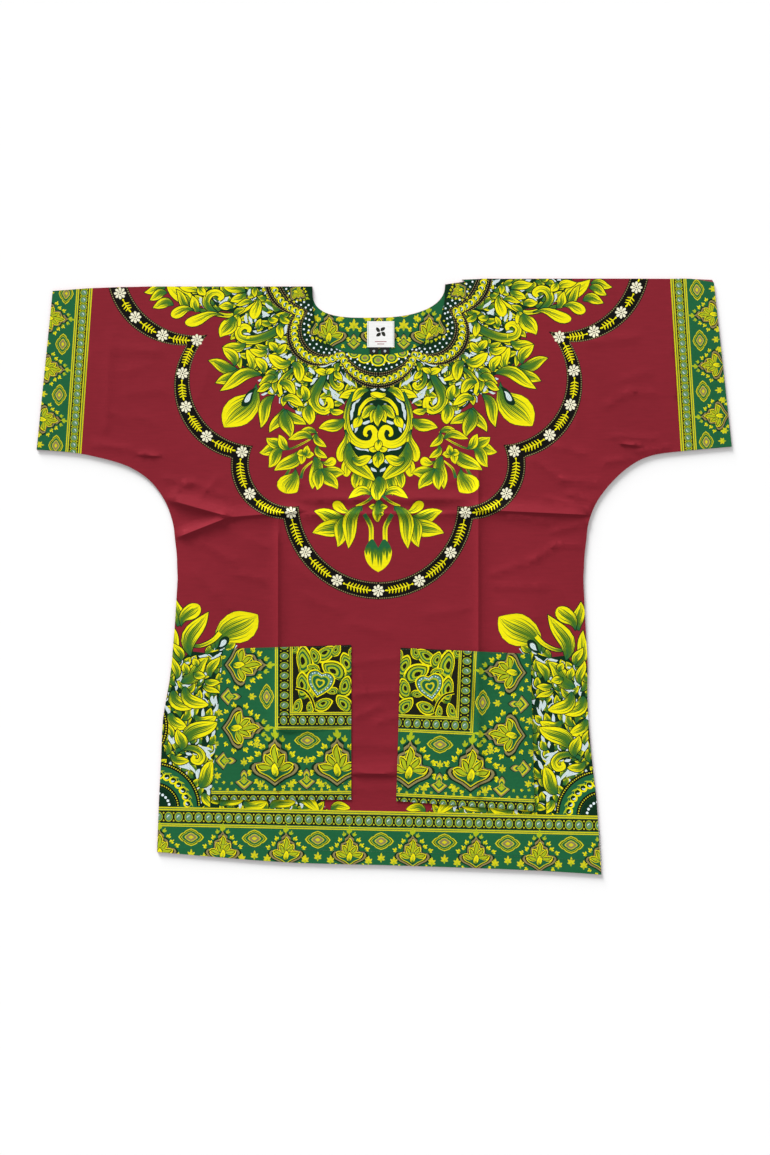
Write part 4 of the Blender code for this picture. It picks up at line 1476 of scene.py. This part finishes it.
# How far each pocket's mouth stands off the front: the middle of the gape along x, and its rise.
MOUTHS = {"pocket_left": (-0.110, 0.0010), "pocket_right": (0.122, 0.0034)}
GAPE_REACH = (0.055, 0.065)
MOUTH_HEM = 0.003         # the gape is widest this far below the pocket's highest point


def pocket_under(name, highest):
    """A function for the height of a pocket's underside, given its highest point along y."""
    gape_x, gape = MOUTHS[name]
    top = highest - MOUTH_HEM

    def under(x, y):
        mouth = smooth_fall(np.abs(x - gape_x) / GAPE_REACH[0]) * smooth_fall((top - y) / GAPE_REACH[1])
        return front_under(x, y) + CAD_WALL + SEAM_GAP + gape * mouth
    return under


# ================================================================ materials

def arithmetic(tree, operation, first, second=None, third=None, clamp=False):
    """A sum worked out by the shader, from numbers or sockets."""
    made = tree.nodes.new("ShaderNodeMath")
    made.operation = operation
    made.use_clamp = clamp
    for socket, value in zip(made.inputs, (first, second, third)):
        if value is None:
            continue
        if isinstance(value, (int, float)):
            socket.default_value = value
        else:
            tree.links.new(value, socket)
    return made.outputs[0]


def sums(tree):
    """Short names for the shader's sums: any, add, subtract and multiply."""
    calc = partial(arithmetic, tree)
    return calc, partial(calc, "ADD"), partial(calc, "SUBTRACT"), partial(calc, "MULTIPLY")


def blend_colours(tree, factor, first, second):
    """The first colour, turned into the second as the factor rises to 1."""
    made = tree.nodes.new("ShaderNodeMix")
    made.data_type = "RGBA"
    for socket, value in ((made.inputs[0], factor), (made.inputs[6], first), (made.inputs[7], second)):
        if isinstance(value, (int, float)):
            socket.default_value = value
        elif isinstance(value, tuple):
            socket.default_value = (*value, 1.0)
        else:
            tree.links.new(value, socket)
    return made.outputs[2]


def noise(tree, place, scale, detail):
    """Soft noise at places given by a socket."""
    made = tree.nodes.new("ShaderNodeTexNoise")
    made.inputs["Scale"].default_value = scale
    made.inputs["Detail"].default_value = detail
    tree.links.new(place, made.inputs["Vector"])
    return made.outputs[0]


def weave_height(tree, thread):
    """Over and under of plain weave, from object coordinates."""
    place = tree.nodes.new("ShaderNodeTexCoord").outputs["Object"]
    split = tree.nodes.new("ShaderNodeSeparateXYZ")
    tree.links.new(place, split.inputs[0])
    turn = 2 * math.pi / thread
    warp = arithmetic(tree, "SINE", arithmetic(tree, "MULTIPLY", split.outputs[0], turn))
    weft = arithmetic(tree, "SINE", arithmetic(tree, "MULTIPLY", split.outputs[1], turn))
    return place, arithmetic(tree, "MULTIPLY", warp, weft)


def print_colour(tree):
    """The mesh's ink, with hatched leaves, ribbed gaps and dashed lines."""
    calc, plus, less, times = sums(tree)
    ink = tree.nodes.new("ShaderNodeAttribute")
    ink.attribute_name = "ink"
    leaf = tree.nodes.new("ShaderNodeAttribute")
    leaf.attribute_name = "leaf"
    parts = tree.nodes.new("ShaderNodeSeparateColor")
    tree.links.new(leaf.outputs["Color"], parts.inputs[0])
    along, across, kind = parts.outputs
    depth = leaf.outputs["Alpha"]
    is_leaf, is_dash, is_rib, is_broad = (calc("COMPARE", kind, wanted, 0.2)
                                          for wanted in (LEAF, DASH, RIB, BROAD))
    is_leaf = plus(is_leaf, is_broad)
    # Strokes that run out from the base, each in its own lane and to its own length.
    lane_count = plus(less(4.5, times(is_rib, 2.9)), times(is_broad, 5.0))
    lanes = times(across, lane_count)
    lane = calc("ROUND", lanes)
    off_lane = times(calc("ABSOLUTE", less(lanes, lane)), 2.0)
    wander = calc("SINE", times(lane, 2.4))
    centre = less(1.16, times(calc("ABSOLUTE", across), 0.72))
    reach = calc("MAXIMUM", times(plus(depth, times(wander, 0.16)), centre), 0.05)
    run = calc("DIVIDE", along, reach)
    stroke = times(less(1.30, plus(run, times(off_lane, 0.60))), 6.0, clamp=True)
    wash = less(0.80, times(run, 0.70), clamp=True)
    base = times(less(0.44, run), 4.0, clamp=True)
    tint = blend_colours(tree, wash, ink.outputs["Color"], INKS["lime"])
    tint = blend_colours(tree, times(stroke, 0.92), tint, INKS["leaf"])
    tint = blend_colours(tree, times(base, 0.90), tint, INKS["green"])
    colour = blend_colours(tree, is_leaf, ink.outputs["Color"], tint)
    rib = times(times(less(off_lane, 0.50), 3.0, clamp=True), is_rib)
    colour = blend_colours(tree, times(rib, 0.62), colour, INKS["green"])
    gap = calc("GREATER_THAN", calc("FRACT", times(along, depth)), 0.56)
    return blend_colours(tree, times(is_dash, gap), colour, INKS["black"])


def printed_cotton(name, thread=0.00055, roughness=0.66, gloss=0.08, weave_depth=0.35):
    """Wax-printed cotton: the print, plain weave as bumps and as a little painted weave shade, slight slub
    and sheen.
    """
    material = bpy.data.materials.new(name)
    material.use_nodes = True
    tree = material.node_tree
    shader = tree.nodes["Principled BSDF"]
    _, plus, less, times = sums(tree)
    colour = print_colour(tree)
    place, weave = weave_height(tree, thread)
    cloud = noise(tree, place, 9.0, 3.0)
    stretch = tree.nodes.new("ShaderNodeMapping")
    stretch.inputs["Scale"].default_value = (0.12, 1.0, 1.0)
    tree.links.new(place, stretch.inputs["Vector"])
    slub = noise(tree, stretch.outputs[0], 420.0, 2.0)
    # Brightness of the colour: random cloud and slub tone, plus painted weave shade.
    tone_and_weave_shade = plus(times(cloud, 0.20), 0.90)
    tone_and_weave_shade = plus(tone_and_weave_shade, times(less(slub, 0.5), 0.20))
    # painted weave shade: the weave's height darkens the colour in its hollows and lightens it on its crests,
    # by 3 per cent
    tone_and_weave_shade = plus(tone_and_weave_shade, times(weave, 0.03))
    shaded = tree.nodes.new("ShaderNodeVectorMath")
    shaded.operation = "SCALE"
    tree.links.new(colour, shaded.inputs[0])
    tree.links.new(tone_and_weave_shade, shaded.inputs["Scale"])
    tree.links.new(shaded.outputs[0], shader.inputs["Base Color"])
    bump = tree.nodes.new("ShaderNodeBump")
    bump.inputs["Strength"].default_value = weave_depth
    bump.inputs["Distance"].default_value = 0.0001
    tree.links.new(plus(weave, times(slub, 1.2)), bump.inputs["Height"])
    tree.links.new(bump.outputs[0], shader.inputs["Normal"])
    shader.inputs["Roughness"].default_value = roughness
    shader.inputs["Specular IOR Level"].default_value = gloss
    shader.inputs["Sheen Weight"].default_value = 0.02
    shader.inputs["Sheen Roughness"].default_value = 0.45
    return material


def plain_thread(name):
    """Green sewing thread."""
    material = bpy.data.materials.new(name)
    material.use_nodes = True
    shader = material.node_tree.nodes["Principled BSDF"]
    shader.inputs["Base Color"].default_value = (*linear(20, 70, 40), 1)
    shader.inputs["Roughness"].default_value = 0.55
    return material


# ================================================================ pieces of the shirt

def make_front(cloth):
    """The front with its relief and its print."""
    outline = rounded(rim_loop("front_panel"))
    lines = [(line[inside(line, outline)], closed) for line, closed in crease_lines()]
    piece = cloth_piece("front_cloth", outline, body_print(), "maroon", front_under, spacing=0.0070,
                        lines=lines, below_ground="maroon_pale")
    piece.data.materials.append(cloth)
    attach(piece, "root")
    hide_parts("front_panel")
    return piece


NECK_PITCH = 64.0         # of the palmettes inside the back neck


def make_back(cloth):
    """The flat back: green inside the neck, and the outer borders on its underside."""
    outline = rounded(rim_loop("back_panel"))
    neck = []
    pen = Pen(neck, lay_plain)
    pen.block(-130, 400, 130, 240, "green")
    for step in range(-2, 3):
        u = -7.0 + NECK_PITCH * step
        between = u + 0.5 * NECK_PITCH
        palmette(pen.at(u, 306), 52.0)
        lozenge(pen.at(between, 342), 26, 18)
        crown(pen.at(between, 320), 14.0)
        bell(pen.at(between, 300), 17.0)
        crown(pen.at(u + 16, 330, 20), 9.0)
        crown(pen.at(u - 16, 330, -20), 9.0)
    outside = []
    outer_borders(outside)

    def under(x, y):
        return np.full_like(x, 0.0)
    piece = cloth_piece("back_cloth", outline, neck, "maroon_pale", under, CAD_WALL - UNDER_MARGIN,
                        0.012, below=outside, below_ground="maroon")
    piece.data.materials.append(cloth)
    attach(piece, "root")
    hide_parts("back_panel")
    return piece


# Where the right pocket's print begins, in mm: past its inner side, its height and its turn.
RIGHT_SHIFT = 5.5
RIGHT_TOP = -90.0
RIGHT_TURN = -2.6


def make_pockets(cloth):
    """Both pockets, each printed from its own upper corner."""
    pieces = []
    for name, side in (("pocket_left", -1), ("pocket_right", 1)):
        outline = rounded(rim_loop(name))
        low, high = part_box(name)
        shapes = []
        if side < 0:
            pen = Pen(shapes, lay_plain).at(high.x / MM, high.y / MM, flip=-1)
        else:
            pen = Pen(shapes, lay_plain).at(low.x / MM + RIGHT_SHIFT, RIGHT_TOP, RIGHT_TURN)
        pocket_print(pen)
        piece = cloth_piece(name + "_cloth", outline, shapes, "green", pocket_under(name, high.y),
                            spacing=0.005, below_ground="green_pale")
        piece.data.materials.append(cloth)
        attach(piece, "root")
        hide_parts(name)
        pieces.append(piece)
    return pieces


# Woven pieces in metres: their wall, how far they curl, and how far they stand off the CAD's underside.
WOVEN_WALL = 0.0005
WOVEN_CURL = 0.00012
WOVEN_LIFT = 0.00025


def label_mark(pen):
    """Four leaves over two bars, and a woven edge at each side, in place of any lettering."""
    for turn in (45, 135, 225, 315):
        away = np.array([math.cos(math.radians(turn)), math.sin(math.radians(turn))])
        pen.leaf(away * 1.0 + (0, 3), away * 8.0 + (0, 3), 0.1, 4.6, "petal", "brown")
    for v, length in ((-9.5, 15), (-12.5, 9)):
        pen.block(-length / 2, v - 0.5, length / 2, v + 0.5, "maroon_pale")
    for side in (-1, 1):
        pen.block(side * 16.2, -15.4, side * 15.7, 15.4, "bead")


def tab_mark(pen):
    """A small ring in place of a size."""
    pen.disc(0, -0.6, 1.5, "white", 8)
    pen.disc(0, -0.6, 0.8, "black", 8)


def make_label(satin):
    """The neck label and the two size tabs under it."""
    for name, draw, ground in (("neck_label", label_mark, "satin"), ("size_tab_left", tab_mark, "black"),
                               ("size_tab_right", tab_mark, "black")):
        low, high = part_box(name)
        drawn = []
        draw(Pen(drawn, lay_plain).at((low.x + high.x) / 2 / MM, (low.y + high.y) / 2 / MM))
        outline = np.array([(low.x, low.y), (high.x, low.y), (high.x, high.y), (low.x, high.y)])
        outline = np.vstack([cut_evenly(np.array([start, end]), 8)[:-1]
                             for start, end in zip(outline, np.roll(outline, -1, 0))])

        def under(x, y):
            curl = WOVEN_CURL * np.cos((x - low.x) / (high.x - low.x) * 2 * math.pi)
            return np.full_like(x, low.z + WOVEN_LIFT) + curl
        piece = cloth_piece(name + "_woven", outline, drawn, ground, under, WOVEN_WALL, 0.002,
                            below_ground=ground, below_spacing=0.004)
        piece.data.materials.append(satin)
        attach(piece, "root")
        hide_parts(name)


# One stitch as a small closed form: shares of its length and half width, and of its height.
STITCH_FORM = ((-0.5, 0, 0), (-0.2, 1, 0.2), (-0.2, 0, 1), (-0.2, -1, 0.2),
               (0.2, 1, 0.2), (0.2, 0, 1), (0.2, -1, 0.2), (0.5, 0, 0))
STITCH_FACES = ((0, 2, 1), (0, 3, 2), (0, 1, 3), (1, 2, 5), (1, 5, 4), (2, 3, 6), (2, 6, 5),
                (3, 1, 4), (3, 4, 6), (4, 5, 7), (5, 6, 7), (6, 4, 7))


def thread_along(line, pitch=0.0036, long=0.0026, wide=0.00045):
    """Places, lifts off the cloth and triangles of a row of stitches along a line in metres."""
    feet, heads = even_points(line, pitch)
    spots, lifts, triangles = [], [], []
    for foot, ahead in zip(feet, heads):
        aside = left_of(ahead)
        triangles += [tuple(len(spots) + corner for corner in face) for face in STITCH_FACES]
        for along, across, rise in STITCH_FORM:
            spots.append(foot + ahead * along * long + aside * across * wide / 2)
            lifts.append(rise * wide * 0.6)
    return np.array(spots), np.array(lifts), triangles


# Stitch lines in metres: how far each runs inside the cloth's edge, and which part of the front's
# outline it follows.
HEM_INSET = 0.017
NECK_INSET = 0.0055
POCKET_INSET = 0.0018
HEM_BELOW = -0.335
HEM_WITHIN = 0.30
CUFF_BEYOND = 0.415
CUFF_LOW, CUFF_HIGH = 0.165, 0.372
NECK_WITHIN = 0.080
NECK_ABOVE = 0.285


def stitch_rows():
    """The line of each row of stitches, with the height of the cloth under it."""
    def front_top(x, y):
        return front_under(x, y) + SHEET_WALL

    def on_pocket(under):
        return lambda x, y: under(x, y) + SHEET_WALL

    front = rounded(rim_loop("front_panel"))
    hem = front[(front[:, 1] < HEM_BELOW) & (np.abs(front[:, 0]) < HEM_WITHIN)]
    hem = hem[np.argsort(hem[:, 0])]
    rows = [(hem + (0, HEM_INSET), front_top)]
    for side in (-1, 1):
        cuff = front[(side * front[:, 0] > CUFF_BEYOND) & (front[:, 1] < CUFF_HIGH)
                     & (front[:, 1] > CUFF_LOW)]
        cuff = cuff[np.argsort(cuff[:, 1])]
        rows.append((cuff - (side * HEM_INSET, 0), front_top))
    neck = front[(np.abs(front[:, 0] - AXIS_X) < NECK_WITHIN) & (front[:, 1] > NECK_ABOVE)]
    neck = neck[np.argsort(neck[:, 0])]
    rows.append((neck - (0, NECK_INSET), front_top))
    for name in ("pocket_left", "pocket_right"):
        outline = rounded(rim_loop(name))
        inner = inset_loop(outline, POCKET_INSET)
        under = pocket_under(name, outline[:, 1].max())
        rows.append((np.vstack([inner, inner[:1]]), on_pocket(under)))
    return rows


def make_stitches(thread):
    """Rows of stitches at the hem, cuffs, neckline and pockets, as one piece of thread."""
    corners, triangles = [], []
    for line, height in stitch_rows():
        spots, lifts, links = thread_along(line)
        z = height(spots[:, 0], spots[:, 1]) + lifts
        triangles += [tuple(index + len(corners) for index in link) for link in links]
        corners += [tuple(corner) for corner in np.column_stack([spots, z])]
    mesh = bpy.data.meshes.new("stitches")
    mesh.from_pydata(corners, [], triangles)
    piece = bpy.data.objects.new("stitches", mesh)
    bpy.context.scene.collection.objects.link(piece)
    mesh.materials.append(thread)
    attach(piece, "root")


# ================================================================ stage

# Suns: name, where each shines from, its angle across in degrees, and its strength.
SUNS = (
    ("key", (-0.9, 2.1, 0.70), 26.0, 5.55),
    ("fill", (1.2, 0.4, 2.4), 60.0, 0.30),
)
SKY_STRENGTH = 0.47
FLOOR_SIZE = 60
FLOOR_DROP = 0.0002
CAMERA_PLACE = (0.0010, -0.0010, 3.49)


def make_stage():
    """A white floor, two suns, a white sky, and a camera that looks straight down."""
    bpy.ops.mesh.primitive_plane_add(size=FLOOR_SIZE, location=(0, 0, -FLOOR_DROP))
    floor = bpy.context.object
    floor.name = "floor"
    material = bpy.data.materials.new("floor")
    material.use_nodes = True
    shader = material.node_tree.nodes["Principled BSDF"]
    shader.inputs["Base Color"].default_value = (0.94, 0.94, 0.94, 1)
    shader.inputs["Roughness"].default_value = 0.95
    shader.inputs["Specular IOR Level"].default_value = 0.0
    floor.data.materials.append(material)

    world = bpy.data.worlds.new("soft")
    bpy.context.scene.world = world
    world.use_nodes = True
    world.node_tree.nodes["Background"].inputs[0].default_value = (1, 1, 1, 1)
    world.node_tree.nodes["Background"].inputs[1].default_value = SKY_STRENGTH

    for name, place, angle, power in SUNS:
        lamp = bpy.data.lights.new(name, "SUN")
        lamp.angle = math.radians(angle)
        lamp.energy = power
        item = bpy.data.objects.new(name, lamp)
        item.location = place
        item.rotation_euler = (-Vector(place)).to_track_quat("-Z", "Y").to_euler()
        bpy.context.scene.collection.objects.link(item)

    camera = bpy.data.cameras.new("camera")
    camera.lens = 85
    camera.sensor_width = 36
    view = bpy.data.objects.new("camera", camera)
    view.location = CAMERA_PLACE
    bpy.context.scene.collection.objects.link(view)
    bpy.context.scene.camera = view
    bpy.context.scene.view_settings.view_transform = "Standard"


# ================================================================ the scene

cotton = printed_cotton("printed_cotton")
satin = printed_cotton("woven_satin", 0.0003, 0.42, 0.35, 0.2)
back = make_back(cotton)
front = make_front(cotton)
pockets = make_pockets(cotton)
make_label(satin)
make_stitches(plain_thread("thread"))
make_stage()
